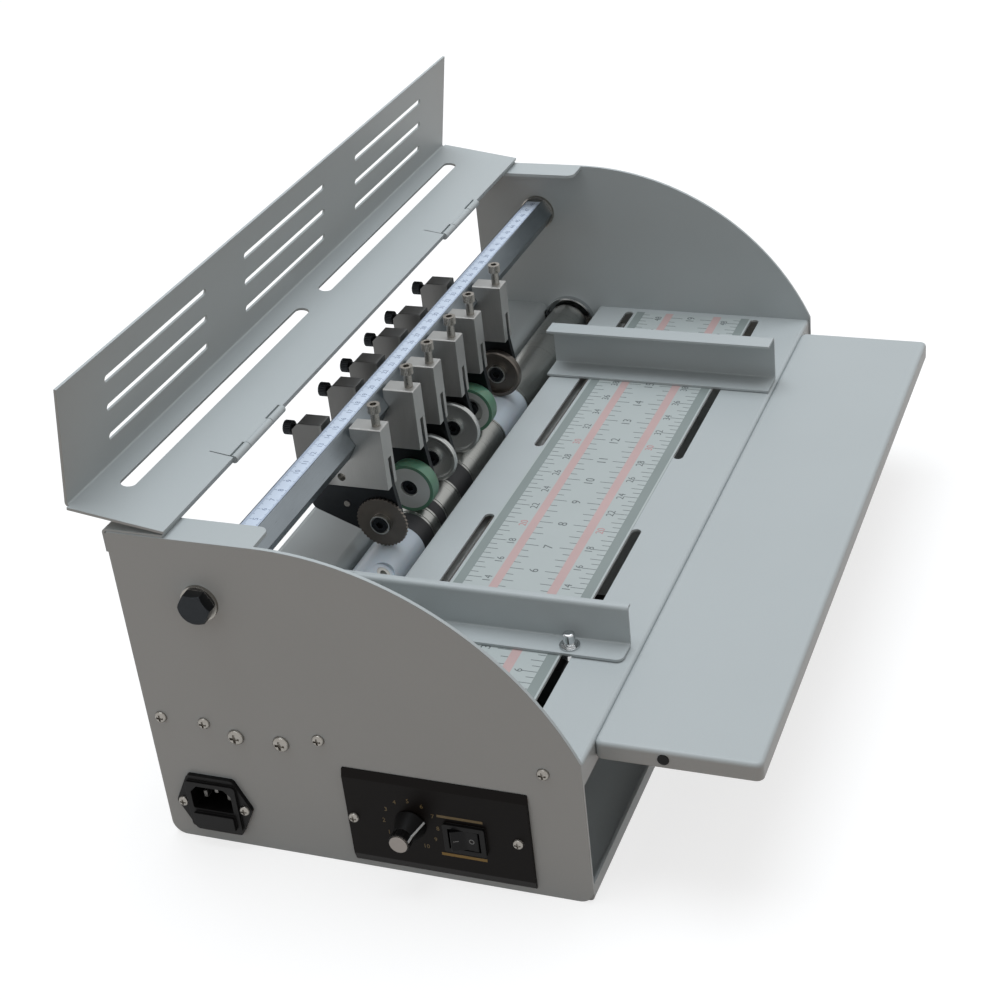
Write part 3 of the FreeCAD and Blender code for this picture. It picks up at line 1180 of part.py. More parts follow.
def guide_screws(x):
    """Cap screws in the front and rear slots, with the nuts under the bed."""
    pieces = []
    foot_top = GUIDE_FOOT_Z + SHEET_T
    bed_under = BED_TOP - SHEET_T - SLIDE_GAP
    for y in (sum(FRONT_SLOT) / 2.0, sum(REAR_SLOT) / 2.0):
        washer = rod_z((foot_top, foot_top + GUIDE_WASHER_T), (x, y), GUIDE_WASHER_R)
        collar = prism_z(hexagon(GUIDE_NUT_AF, (x, y)), (foot_top, foot_top + GUIDE_COLLAR_H))
        cap = rod_z((foot_top, foot_top + GUIDE_CAP_H), (x, y), GUIDE_CAP_R)
        crown = [e for e in cap.Edges if e.BoundBox.ZMin > foot_top + GUIDE_CAP_H - TINY]
        cap = cap.makeFillet(GUIDE_CAP_EDGE_R, crown)
        stud = rod_z((bed_under - GUIDE_NUT_H - THREAD_PAST_NUT, foot_top), (x, y), M5_R)
        pieces.append(join(washer, collar, cap, stud))
        bore = rod_z((bed_under - GUIDE_NUT_H - CUT, bed_under + CUT), (x, y), M5_R + PIN_FIT)
        nut = prism_z(hexagon(GUIDE_NUT_AF, (x, y)), (bed_under - GUIDE_NUT_H, bed_under))
        pieces.append(nut.cut(bore))
    return pieces


def guide_holes(x):
    """Cutters for the screw holes in a guide's foot."""
    z = (GUIDE_FOOT_Z - CUT, GUIDE_FOOT_Z + SHEET_T + CUT)
    return [rod_z(z, (x, sum(across) / 2.0), M5_R + HOLE_FIT) for across in (FRONT_SLOT, REAR_SLOT)]


def make_guides():
    """Side guides that slide along the bed slots, with their screws."""
    foot_z = GUIDE_FOOT_Z + SHEET_T
    tip = NEAR_GUIDE_X - NEAR_GUIDE_FOOT
    hem = NEAR_GUIDE_X + NEAR_GUIDE_HEM
    section = [(hem, NEAR_GUIDE_TOP), (NEAR_GUIDE_X, NEAR_GUIDE_TOP), (NEAR_GUIDE_X, foot_z), (tip, foot_z)]
    low = ROLLER_Z + ROLLER_R + ROLLER_CLEARANCE
    tail = section[:2] + [(NEAR_GUIDE_X, low)]
    guide = join(prism_y(folded_sheet(section), NEAR_GUIDE_Y),
                 prism_y(folded_sheet(tail), (NEAR_GUIDE_Y[1], NEAR_GUIDE_REAR_Y)))
    screw_x = NEAR_GUIDE_X - GUIDE_SCREW_X
    front, rear = NEAR_GUIDE_Y
    guide = cut_all(guide, foot_corner(tip, front, 1, 1), foot_corner(tip, rear, 1, -1),
                    *guide_holes(screw_x))
    export("guide_left", guide)
    export("guide_left_screws", *guide_screws(screw_x))

    section = [(FAR_GUIDE_X - FAR_GUIDE_LIP, GUIDE_FOOT_Z), (FAR_GUIDE_X, GUIDE_FOOT_Z),
               (FAR_GUIDE_X, FAR_GUIDE_TOP), (FAR_GUIDE_X - FAR_GUIDE_RETURN, FAR_GUIDE_TOP)]
    channel = prism_y(folded_sheet(section), FAR_GUIDE_Y)
    tip = FAR_GUIDE_X + FAR_BRACKET_FOOT
    section = [(FAR_GUIDE_X, GUIDE_FOOT_Z + FAR_BRACKET_HEIGHT), (FAR_GUIDE_X, GUIDE_FOOT_Z),
               (tip, GUIDE_FOOT_Z)]
    screw_x = FAR_GUIDE_X + GUIDE_SCREW_X
    bracket = cut_all(prism_y(folded_sheet(section), FAR_BRACKET_Y),
                      foot_corner(tip, FAR_BRACKET_Y[0], -1, 1), foot_corner(tip, FAR_BRACKET_Y[1], -1, -1),
                      *guide_holes(screw_x))
    export("guide_right", channel, bracket)
    export("guide_right_screws", *guide_screws(screw_x))


# ---------------------------------------------------------------- tool stations
def make_holder(name, left):
    """Aluminium holder that hangs on the hexagonal bar, slotted for the arm."""
    x = (left, left + HOLDER_T)
    past = (left - CUT, left + HOLDER_T + CUT)
    body = block(x, HOLDER_Y, HOLDER_Z)
    body = body.makeChamfer(HOLDER_EDGE, [e for e in body.Edges if e.BoundBox.ZMin > HOLDER_Z[1] - TINY])
    rear, top, size = HOLDER_Y[1], HOLDER_Z[1], HOLDER_REAR_CHAMFER
    corner = prism_x([(rear - size - CUT, top + CUT), (rear + CUT, top + CUT), (rear + CUT, top - size - CUT)], past)
    notch = prism_x(hexagon(BAR_AF + 2.0 * NOTCH_GAP, (BAR_Y, BAR_Z)), past)
    channel = block(past, CHANNEL_Y, (BAR_Z, HOLDER_Z[1] + CUT))
    slot_x = (left + ARM_X - ARM_GAP, left + ARM_X + ARM_T + ARM_GAP)
    slot_low = block(slot_x, (HOLDER_Y[0] - CUT, HOLDER_Y[1] + CUT), (HOLDER_Z[0] - CUT, SLOT_TOP))
    slot_front = block(slot_x, (HOLDER_Y[0] - CUT, SLOT_STEP_Y), (HOLDER_Z[0] - CUT, SLOT_TOP_FRONT))
    pivot = rod_x(past, (PIVOT_Y, PIVOT_Z), PIVOT_R + PIN_FIT)
    middle = left + HOLDER_T / 2.0
    adjust = rod_z((SLOT_TOP, HOLDER_Z[1] + CUT), (middle, ADJUST_Y), ADJUST_R + PIN_FIT)
    clamp = rod_y((BAR_Y, HOLDER_Y[1] + CUT), (middle, CLAMP_Z), CLAMP_R + PIN_FIT)
    export(name, cut_all(body, corner, notch, channel, slot_low, slot_front, pivot, adjust, clamp))


def make_clamp_screw(name, left):
    """Knurled screw in the holder's rear that clamps it to the bar."""
    middle = left + HOLDER_T / 2.0
    centre = (middle, CLAMP_Z)
    slope_z = CLAMP_Z - CLAMP_R - BAR_Z
    bar_face_y = BAR_Y + (BAR_AF - slope_z) / math.sqrt(3.0)
    head_y = HOLDER_Y[1] + CLAMP_NECK
    shank = rod_y((bar_face_y + SLIDE_GAP, head_y), centre, CLAMP_R)
    head = prism_y(star(CLAMP_HEAD_R, CLAMP_HEAD_R - KNURL_DEPTH, KNURL_COUNT, centre),
                   (head_y, head_y + CLAMP_HEAD_H))
    socket = socket_tool("y", head_y + CLAMP_HEAD_H, centre, CLAMP_HEAD_R, -SOCKET_DEPTH)
    export(name, join(shank, head).cut(socket))


def make_adjust_screw(name, left):
    """Screw that sets the tool's depth: its point bears on the arm."""
    centre = (left + HOLDER_T / 2.0, ADJUST_Y)
    point_z = ARM_TOP_FRONT + SLIDE_GAP
    shank_z = point_z + ADJUST_POINT_H
    head_top = ADJUST_NECK_TOP + ADJUST_HEAD_H
    head = prism_z(star(ADJUST_HEAD_R, ADJUST_HEAD_R - KNURL_DEPTH, KNURL_COUNT, centre),
                   (ADJUST_NECK_TOP, head_top))
    screw = join(rod_z((point_z, shank_z), centre, ADJUST_POINT_R),
                 rod_z((shank_z, ADJUST_NECK_TOP), centre, ADJUST_R), head)
    socket = socket_tool("z", head_top, centre, ADJUST_HEAD_R, -SOCKET_DEPTH)
    export(name, screw.cut(socket))


def tangent_point(outside, centre, radius, side):
    """Where the line from an outside point touches a circle; side picks one of the two."""
    dy, dz = outside[0] - centre[0], outside[1] - centre[1]
    turn = math.atan2(dz, dy) + side * math.acos(radius / math.hypot(dy, dz))
    return (centre[0] + radius * math.cos(turn), centre[1] + radius * math.sin(turn))


def make_arm(name, left, wheel_r, wheel_width, head_inset):
    """Tool arm in the holder's slot, with its pivot pin, rivet and wheel bolt."""
    x = (left + ARM_X, left + ARM_X + ARM_T)
    past = (x[0] - CUT, x[1] + CUT)
    axle = (AXLE_Y, ROLLER_Z + ROLLER_R + NIP + wheel_r)
    front_top = (ARM_FRONT_Y, ARM_TOP_FRONT)
    corner = (ARM_REAR_Y, ARM_CORNER_Z)
    points = [front_top, tangent_point(front_top, axle, ARM_END_R, 1),
              tangent_point(corner, axle, ARM_END_R, -1), (*corner, ARM_CORNER_R),
              (ARM_REAR_Y, ARM_TOP, ARM_TOP_CORNER_R), (ARM_STEP_Y, ARM_TOP), (ARM_STEP_Y, ARM_TOP_FRONT)]
    plate = join(prism_x(points, x), rod_x(x, axle, ARM_END_R))
    plate = cut_all(plate, rod_x(past, (PIVOT_Y, PIVOT_Z), PIVOT_R + PRESS_GAP),
                    rod_x(past, axle, AXLE_R + PRESS_GAP), rod_x(past, ARM_RIVET, ARM_RIVET_R + PRESS_GAP))
    pin = rod_x((left + PIVOT_RECESS, left + HOLDER_T - PIVOT_RECESS), (PIVOT_Y, PIVOT_Z), PIVOT_R)
    rivet = rod_x((x[0] - ARM_RIVET_HEAD, x[1]), ARM_RIVET, ARM_RIVET_R)
    wheel_left = x[0] - WHEEL_GAP - wheel_width
    head_right = wheel_left - WHEEL_GAP + head_inset
    head_left = head_right - AXLE_HEAD_H
    nut_x1 = x[1] + AXLE_NUT_H
    bolt = join(rod_x((head_left, head_right), axle, AXLE_HEAD_R),
                rod_x((head_right, nut_x1), axle, AXLE_R))
    bolt = bolt.cut(socket_tool("x", head_left, axle, AXLE_HEAD_R, AXLE_SOCKET_DEPTH))
    nut = nut_x((x[1], nut_x1), axle, AXLE_NUT_AF, AXLE_R)
    export(name, plate, pin, rivet, bolt, nut)


def make_wheel(name, left, kind, radius, width):
    """Tool wheel of one kind, left of the arm, on the arm's bolt."""
    right = left + ARM_X - WHEEL_GAP
    start = right - width
    x = (start, right)
    past = (start - CUT, right + CUT)
    axle = (AXLE_Y, ROLLER_Z + ROLLER_R + NIP + radius)
    bore = rod_x(past, axle, AXLE_R + PIN_FIT)
    disc_mouth = rod_x((start - CUT, start + DISC_COUNTERBORE), axle, COUNTERBORE_R)
    if kind == "perforating":
        blade = prism_x(star(radius, radius - TOOTH_DEPTH, TEETH, axle), (right - BLADE_T, right))
        pieces = [cut_all(join(blade, rod_x(x, axle, HUB_R)), bore, disc_mouth)]
    elif kind in ("feed", "open_feed"):
        hub_r = radius - TYRE_T
        mouth_r = COUNTERBORE_R if kind == "feed" else OPEN_BORE_R
        mouth = rod_x((start - CUT, start + COUNTERBORE_DEPTH), axle, mouth_r)
        pieces = [cut_all(rod_x(x, axle, hub_r), bore, mouth), tube_x(x, axle, radius, hub_r + PRESS_GAP)]
    elif kind == "creasing":
        rim_x = (start, start + CREASE_RIM_WIDTH)
        rim = tube_x(rim_x, axle, radius, radius - CREASE_RIM_T)
        crest = [e for e in rim.Edges if e.BoundBox.ZLength > 2.0 * radius - TINY]
        rim = rim.makeChamfer(CREASE_RIM_CHAMFER, crest)
        web = rod_x((rim_x[1] - CREASE_WEB_T, rim_x[1]), axle, radius - CREASE_RIM_T)
        hub = rod_x((rim_x[0], right), axle, HUB_R)
        pieces = [cut_all(join(rim, web, hub), bore, disc_mouth)]
    else:
        cup = rod_x(x, axle, radius)
        rim = [e for e in cup.Edges if e.BoundBox.XMax < start + TINY and len(e.Vertexes) == 1]
        cup = cup.makeChamfer(SCORE_CHAMFER, rim)
        hollow = tube_x((start - CUT, right - SCORE_WEB_T), axle, radius - SCORE_RIM_T, HUB_R)
        pieces = [cut_all(cup, hollow, bore, disc_mouth)]
    export(name, *pieces)


def make_stations():
    """The six tool stations along the bar."""
    for index, (left, (kind, radius)) in enumerate(zip(HOLDER_X, TOOLS), start=1):
        feeds = kind in ("feed", "open_feed")
        width = WHEEL_WIDTH if feeds else DISC_WIDTH
        head_inset = COUNTERBORE_DEPTH if feeds else DISC_COUNTERBORE
        make_holder(f"holder_{index}", left)
        make_clamp_screw(f"clamp_screw_{index}", left)
        make_adjust_screw(f"adjust_screw_{index}", left)
        make_arm(f"tool_arm_{index}", left, radius, width, head_inset)
        make_wheel(f"tool_wheel_{index}", left, kind, radius, width)


def main():
    """Write every sub-part."""
    os.makedirs("parts", exist_ok=True)
    make_side_plates()
    make_base_pan()
    make_bed()
    make_output_plate()
    make_tray()
    make_case_screws()
    make_top_rail()
    make_cover()
    make_tool_bar()
    make_roller()
    make_bearings()
    make_drive()
    make_control_panel()
    make_switch_rocker()
    make_speed_knob()
    make_power_inlet()
    make_electronics()
    make_guides()
    make_stations()


main()
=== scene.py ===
"""Looks of the desktop creasing machine: finishes, printed scales and controls, camera and light."""

import logging
import math
from collections.abc import Callable, Iterable
from dataclasses import dataclass
from enum import Enum
from typing import Any

import bmesh
import bpy
from mathutils import Matrix, Vector
from mathutils.bvhtree import BVHTree


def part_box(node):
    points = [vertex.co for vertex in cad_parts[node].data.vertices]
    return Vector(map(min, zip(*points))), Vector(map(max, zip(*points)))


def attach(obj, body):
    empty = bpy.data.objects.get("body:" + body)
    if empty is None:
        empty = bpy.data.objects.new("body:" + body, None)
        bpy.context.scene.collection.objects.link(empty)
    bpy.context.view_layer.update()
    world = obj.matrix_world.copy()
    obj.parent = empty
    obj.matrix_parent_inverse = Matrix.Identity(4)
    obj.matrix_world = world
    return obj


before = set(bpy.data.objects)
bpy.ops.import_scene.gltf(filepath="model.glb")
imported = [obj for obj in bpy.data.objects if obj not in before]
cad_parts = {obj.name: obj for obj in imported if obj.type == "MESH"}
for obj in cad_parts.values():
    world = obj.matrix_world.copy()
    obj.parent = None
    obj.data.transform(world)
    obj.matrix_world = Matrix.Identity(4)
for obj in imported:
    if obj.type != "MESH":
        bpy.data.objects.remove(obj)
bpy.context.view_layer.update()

LOG = logging.getLogger("creasing_machine")
MM = 0.001
CHANNEL_MAX = 255.0
SRGB_KNEE, SRGB_SLOPE, SRGB_OFFSET, SRGB_POWER = 0.04045, 12.92, 0.055, 2.4
# Behind the bar the blocks' colour is darkened as painted shade, between REAR_FROM and REAR_TO.
REAR_FROM, REAR_TO = 76.0, 84.0              # where rear_painted_shade starts and is full, along Y, behind the bar
SAME_PLACE = 3                               # decimals of a millimetre in which joined corners agree
MARK_DETAIL, MARK_ROUGHNESS = 4.0, 0.6       # noise of the fine marks
MARK_RANGE = (0.3, 0.7)                      # heights of the fine marks that the gloss follows
PATCH_DETAIL, PATCH_ROUGHNESS = 3.0, 0.55    # noise of the slow variation over a piece
BLEND_RANGE = (0.7, 1.3)                     # sums of both noises that the colour follows
# Edges are lightened in colour over this range, as wear and as painted highlight.
WEAR_AND_HIGHLIGHT_RANGE = (1.0, 0.8)                       # cosine of the rounded normal's turn, on a flat face and an edge
WEAR_AND_HIGHLIGHT_GAIN = 2.0
BEVEL_SAMPLES = 4
LIGHT_DEPTH = 2.0                            # how far light enters the soft plastics, in millimetres
LETTER_DEPTH = 1.0                           # any depth, since each print sets its own thickness
LETTER_CURVES = 3                            # steps along each curve of a character


def linear(code: str) -> tuple[float, float, float, float]:
    """Turns an sRGB hex colour into linear red, green, blue and alpha.

    Args:
        code: Colour written as #rrggbb.

    Returns:
        Linear channels with full alpha.
    """
    channels = [int(code[i:i + 2], 16) / CHANNEL_MAX for i in (1, 3, 5)]
    red, green, blue = (c / SRGB_SLOPE if c <= SRGB_KNEE else
                        ((c + SRGB_OFFSET) / (1.0 + SRGB_OFFSET)) ** SRGB_POWER for c in channels)
    return red, green, blue, 1.0


def add_node(tree: bpy.types.NodeTree, kind: str, inputs: dict[Any, Any] | None = None,
             **settings: Any) -> bpy.types.Node:
    """Adds one shader node with its settings and links.

    Args:
        tree: Node tree that gets the node.
        kind: Node type without its ShaderNode prefix.
        inputs: For each input, by name or number, a value or the output socket that feeds it.
        settings: Attributes of the node itself, such as operation.

    Returns:
        The new node.
    """
    node = tree.nodes.new("ShaderNode" + kind)
    for name, value in settings.items():
        setattr(node, name, value)
    for key, value in (inputs or {}).items():
        if isinstance(value, bpy.types.NodeSocket):
            tree.links.new(value, node.inputs[key])
        else:
            node.inputs[key].default_value = value
    return node


class Lay(Enum):
    """Direction in which a surface's marks run, as stretch factors along X, Y and Z."""

    EVEN = (1.0, 1.0, 1.0)
    ALONG_X = (0.02, 1.0, 1.0)
    ALONG_Z = (1.0, 1.0, 0.03)
    ROUND_X = (1.0, 0.001, 0.001)


@dataclass(frozen=True)
class Finish:
    """A finish, by what the piece is made of and how its surface was made.

    Grain, relief, patch and edge are the width and height of the fine marks, the width of the patches and
    the radius of the rounded edges, in millimetres. Tint and spread are shares of the colour and of the
    roughness, edge_wear_and_highlight is the share by which edges are lighter, as wear and as painted
    highlight, and depth is the weight of the light that enters. The share rear_painted_shade is taken off the
    colour behind the tool bar as painted shade for the shadow and dark reflections there, set to match the
    look of the real blocks. Rear_dark is a share of the colour taken off behind the tool bar, set by hand to
    match the look of the real surface there, whose cause isn't known.
    """

    name: str
    colour: str
    roughness: float
    metallic: float = 0.0
    grain: float = 0.8
    relief: float = 0.006
    lay: Lay = Lay.EVEN
    tint: float = 0.05
    patch: float = 45.0
    spread: float = 0.15
    edge: float = 0.35
    edge_wear_and_highlight: float = 0.12
    depth: float = 0.0
    specular: float = 0.5
    rear_painted_shade: float = 0.0

    def material(self) -> bpy.types.Material:
        """Makes the material on first use.

        Returns:
            The material, shared by every piece with this finish.
        """
        made = bpy.data.materials.get(self.name)
        if made is None:
            made = bpy.data.materials.new(self.name)
            made.use_nodes = True
            self.shade(made.node_tree)
            made.diffuse_color = linear(self.colour)
        return made

    def shade(self, tree: bpy.types.NodeTree) -> None:
        """Wires the shader: grained relief, patchy colour, and rounded edges lightened as wear and painted
        highlight.

        Args:
            tree: Node tree of the new material.
        """
        shader = tree.nodes["Principled BSDF"]
        place = add_node(tree, "TexCoord").outputs["Object"]
        fine = self.marks(tree, place)
        broad = add_node(tree, "TexNoise", {"Vector": place, "Scale": 1.0 / (self.patch * MM),
                                            "Detail": PATCH_DETAIL,
                                            "Roughness": PATCH_ROUGHNESS}).outputs["Fac"]
        rounded = add_node(tree, "Bevel", {"Radius": self.edge * MM}, samples=BEVEL_SAMPLES).outputs["Normal"]
        relief = add_node(tree, "Bump", {"Height": fine, "Distance": self.relief * MM,
                                         "Strength": 1.0, "Normal": rounded}).outputs["Normal"]
        shader.inputs["Metallic"].default_value = self.metallic
        shader.inputs["Specular IOR Level"].default_value = self.specular
        shader.inputs["Subsurface Weight"].default_value = self.depth
        shader.inputs["Subsurface Scale"].default_value = LIGHT_DEPTH * MM
        tree.links.new(self.patches(tree, fine, broad, rounded), shader.inputs["Base Color"])
        low, high = self.roughness * (1.0 - self.spread), self.roughness * (1.0 + self.spread)
        gloss = add_node(tree, "MapRange", {"Value": fine, "From Min": MARK_RANGE[0],
                                            "From Max": MARK_RANGE[1], "To Min": low, "To Max": high})
        tree.links.new(gloss.outputs["Result"], shader.inputs["Roughness"])
        tree.links.new(relief, shader.inputs["Normal"])

    def marks(self, tree: bpy.types.NodeTree, place: bpy.types.NodeSocket) -> bpy.types.NodeSocket:
        """Adds the fine marks that the making left, drawn out along their lay.

        Args:
            tree: Node tree of the material.
            place: Position in the machine's frame.

        Returns:
            Height of the marks, 0 to 1.
        """
        drawn = add_node(tree, "Mapping", {"Vector": place, "Scale": self.lay.value}).outputs["Vector"]
        return add_node(tree, "TexNoise", {"Vector": drawn, "Scale": 1.0 / (self.grain * MM),
                                           "Detail": MARK_DETAIL,
                                           "Roughness": MARK_ROUGHNESS}).outputs["Fac"]

    def patches(self, tree: bpy.types.NodeTree, fine: bpy.types.NodeSocket, broad: bpy.types.NodeSocket,
                rounded: bpy.types.NodeSocket) -> bpy.types.NodeSocket:
        """Varies the colour over the surface, paints shade behind the bar, lightens edges as wear and painted
        highlight.

        Args:
            tree: Node tree of the material.
            fine: Height of the fine marks.
            broad: Slow variation over the piece.
            rounded: Normal with its edges rounded.

        Returns:
            Colour of the surface.
        """
        blend = add_node(tree, "Math", {0: fine, 1: broad}, operation="ADD")
        shift = add_node(tree, "MapRange", {"Value": blend.outputs["Value"], "From Min": BLEND_RANGE[0],
                                            "From Max": BLEND_RANGE[1], "To Min": 1.0 - self.tint,
                                            "To Max": 1.0 + self.tint})
        # Behind the bar the colour is darkened by rear_painted_shade, painted shade for the shadow and dark
        # reflections there.
        place = add_node(tree, "SeparateXYZ", {0: add_node(tree, "TexCoord").outputs["Object"]}).outputs["Y"]
        rear_shade_share = add_node(tree, "MapRange", {"Value": place, "From Min": REAR_FROM * MM,
                                           "From Max": REAR_TO * MM, "To Min": 1.0,
                                           "To Max": 1.0 - self.rear_painted_shade}).outputs["Result"]
        share = add_node(tree, "Math", {0: shift.outputs["Result"], 1: rear_shade_share}, operation="MULTIPLY")
        toned = add_node(tree, "VectorMath", {0: linear(self.colour)[:3], "Scale": share.outputs["Value"]},
                         operation="SCALE").outputs["Vector"]
        # Edges are made lighter by edge_wear_and_highlight, as wear and as painted highlight where they catch
        # the light.
        flat = add_node(tree, "NewGeometry").outputs["Normal"]
        turn = add_node(tree, "VectorMath", {0: flat, 1: rounded}, operation="DOT_PRODUCT").outputs["Value"]
        wear_and_highlight_scale = add_node(tree, "MapRange", {"Value": turn, "From Min": WEAR_AND_HIGHLIGHT_RANGE[0], "From Max": WEAR_AND_HIGHLIGHT_RANGE[1],
                                          "To Min": 1.0, "To Max": 1.0 + self.edge_wear_and_highlight * WEAR_AND_HIGHLIGHT_GAIN})
        return add_node(tree, "VectorMath", {0: toned, "Scale": wear_and_highlight_scale.outputs["Result"]},
                        operation="SCALE").outputs["Vector"]


# The marks of tools, print and film are finer than 0.25 to 0.5 mm on the real pieces, and their grain is
# drawn that coarse so that it shows.
# Powder coat on sheet steel: an even satin grey whose orange peel only shows in the highlights.
POWDER_COAT = Finish("powder_coated_steel_satin", "#b2b8b9", 0.46, grain=1.1, relief=0.004, tint=0.018,
                     patch=70.0, spread=0.08, edge=0.5, edge_wear_and_highlight=0.04)
# Zinc-coated sheet, guessed for the angle under the bed: pale, so that it shows grey through the slots.
ZINC_SHEET = Finish("zinc_coated_sheet_dull", "#e2e4e3", 0.5, 0.15, grain=0.9, relief=0.002, tint=0.04,
                    patch=12.0)
# Vinyl film with a matt overlaminate, a shade lighter than the paint round it.
RULER_FILM = Finish("vinyl_film_matt_laminate", "#b1b8b7", 0.5, grain=0.5, relief=0.002, tint=0.025,
                    patch=30.0, edge=0.1, edge_wear_and_highlight=0.0)
# Screen inks on the film, the panel and the knob: flat, thin, muted and slightly mottled.
GREY_INK = Finish("screen_ink_grey", "#858e8c", 0.55, grain=0.4, relief=0.001, tint=0.05, edge=0.02)
BLACK_INK = Finish("screen_ink_black", "#63696a", 0.5, grain=0.3, relief=0.001, tint=0.12, edge=0.02)
PINK_INK = Finish("screen_ink_pink", "#bfa3a1", 0.55, grain=0.4, relief=0.001, tint=0.06, edge=0.02)
RED_INK = Finish("screen_ink_red", "#bd8788", 0.5, grain=0.4, relief=0.001, tint=0.08, edge=0.02)
YELLOW_INK = Finish("screen_ink_yellow", "#8a6d2c", 0.5, grain=0.3, relief=0.001, tint=0.15, edge=0.02)
OLIVE_INK = Finish("screen_ink_olive", "#6b5a35", 0.5, grain=0.3, relief=0.001, tint=0.15, edge=0.02)
WHITE_INK = Finish("screen_ink_white", "#dfe3e4", 0.45, grain=0.3, relief=0.001, tint=0.03, edge=0.02)
# Self-adhesive polyester tape, pale blue with a soft sheen.
TAPE_FILM = Finish("polyester_tape_satin", "#dbe6f6", 0.34, grain=0.6, relief=0.002, tint=0.03, patch=25.0)
# The tape's own ink, a soft blue grey on the pale film.
TAPE_INK = Finish("tape_ink_blue_grey", "#8391ab", 0.45, grain=0.3, relief=0.001, tint=0.1, edge=0.02)
# Drawn bright bar: cool grey, streaked along its length.
DRAWN_STEEL = Finish("drawn_steel_bar_bright", "#838a8f", 0.36, 1.0, grain=0.25, relief=0.004,
                     lay=Lay.ALONG_X, tint=0.12, spread=0.25, edge=0.3)
# Turned and ground steel: fine rings round the axis, with soft reflections between them.
TURNED_STEEL = Finish("turned_steel_ground", "#a3a4a1", 0.3, 1.0, grain=0.3, relief=0.0008,
                      lay=Lay.ROUND_X, tint=0.04, spread=0.12, edge=0.25)
# Milled aluminium blocks, cutter lines along their height, darkened behind the bar as painted shade.
MILLED_ALUMINIUM = Finish("milled_aluminium_satin", "#a9a9a7", 0.42, 0.8, grain=0.4, relief=0.006,
                          lay=Lay.ALONG_Z, tint=0.1, spread=0.2, edge=0.25, edge_wear_and_highlight=0.2, rear_painted_shade=0.62)
# Turned aluminium of the motor's pulley: bright, with fine rings.
TURNED_ALUMINIUM = Finish("turned_aluminium_bright", "#c2c2bf", 0.27, 1.0, grain=0.4, relief=0.003,
                          lay=Lay.ROUND_X, tint=0.08, spread=0.25, edge=0.25)
# Nickel-plated screws: bright with a slight warm tone.
NICKEL_PLATE = Finish("nickel_plated_steel", "#96928c", 0.3, 1.0, grain=0.5, relief=0.003, tint=0.08,
                      patch=6.0, spread=0.3, edge=0.15, edge_wear_and_highlight=0.2)
# Chrome on the guides' screws and the bearings: a near mirror that picks out the round shapes.
CHROME_PLATE = Finish("chrome_plated_steel", "#c6c8c9", 0.12, 1.0, grain=0.8, relief=0.001, tint=0.04,
                      patch=8.0, spread=0.3, edge=0.2)
# Hardened tool steel left with its brown temper colour.
TOOL_STEEL = Finish("tool_steel_tempered", "#66605a", 0.38, 0.8, grain=0.3, relief=0.004,
                    tint=0.15, patch=9.0, spread=0.25, edge=0.25, edge_wear_and_highlight=0.35)
# Black oxide on machined steel: near black, edges lightened as rubbed steel and as painted highlight.
BLACK_OXIDE = Finish("black_oxide_steel", "#2c2e30", 0.4, 1.0, grain=0.5, relief=0.005, tint=0.15,
                     patch=12.0, spread=0.2, edge=0.3, edge_wear_and_highlight=0.5)
# Ground and polished creasing rims: grey steel with soft reflections.
GROUND_STEEL = Finish("ground_steel_satin", "#b6b8b6", 0.3, 0.7, grain=0.35, relief=0.003,
                      lay=Lay.ROUND_X, tint=0.08, spread=0.25, edge=0.25)
# Die-cast gearbox housing: dull and lightly pitted.
CAST_ZINC = Finish("die_cast_zinc", "#8f9294", 0.48, 1.0, grain=0.9, relief=0.02, tint=0.08, patch=14.0)
# Baked enamel on the motor can, an even dark grey with a low sheen.
MOTOR_ENAMEL = Finish("baked_enamel_dark_grey", "#3b3e41", 0.38, grain=0.9, relief=0.006, tint=0.06)
# Turned nylon sleeve: pale, slightly translucent, with faint tool rings.
NYLON = Finish("nylon_turned_natural", "#c3ccd4", 0.38, grain=0.5, relief=0.004, lay=Lay.ROUND_X,
               tint=0.03, depth=0.08, edge=0.3)
# Ground nitrile rubber: matt black with a fine nap.
ROLLER_RUBBER = Finish("nitrile_rubber_ground", "#1d1d1f", 0.62, grain=0.4, relief=0.01, tint=0.12)
# Moulded belt, duller than the rollers.
BELT_RUBBER = Finish("neoprene_belt", "#1a1a1b", 0.7, grain=0.5, relief=0.012, tint=0.15)
# Cast polyurethane tyre: translucent sea green with a waxy gloss.
POLYURETHANE = Finish("cast_polyurethane_green", "#578069", 0.36, grain=1.2, relief=0.004, tint=0.08,
                      patch=10.0, depth=0.25, edge=0.5)
# Stove-enamelled control panel: deep warm black that hardly reflects, edges lightened as painted highlight.
PANEL_BLACK = Finish("stove_enamel_black", "#0c0806", 0.42, grain=0.7, relief=0.004, tint=0.1, edge=0.4,
                     edge_wear_and_highlight=0.8, specular=0.1)
# Moulded housings, knob and plug: black with a fine spark-eroded texture.
MOULDED_BLACK = Finish("abs_moulded_black", "#0a0909", 0.42, grain=0.5, relief=0.006, tint=0.1, edge=0.4,
                       edge_wear_and_highlight=0.6, specular=0.18)
# The rocker, smoother than its housing.
ROCKER_BLACK = Finish("polycarbonate_gloss_black", "#0a0a0b", 0.3, grain=0.9, relief=0.002, tint=0.08,
                      edge=0.4, edge_wear_and_highlight=0.4, specular=0.15)
# Pad print on the rocker, worn to grey.
MARK_INK = Finish("pad_print_grey", "#7f8284", 0.5, grain=0.3, relief=0.001, tint=0.05, edge=0.02)
# The knob's inlaid cap, a satin disc.
SPUN_ALUMINIUM = Finish("spun_aluminium_cap", "#8a847f", 0.42, 1.0, grain=0.3, relief=0.002, tint=0.05)
# Anodised aluminium hub, matt and evenly pale.
HUB_ALUMINIUM = Finish("anodised_aluminium_hub", "#c8cbc8", 0.42, 0.35, grain=0.4, relief=0.003,
                       lay=Lay.ROUND_X, tint=0.06, spread=0.2, edge=0.25)
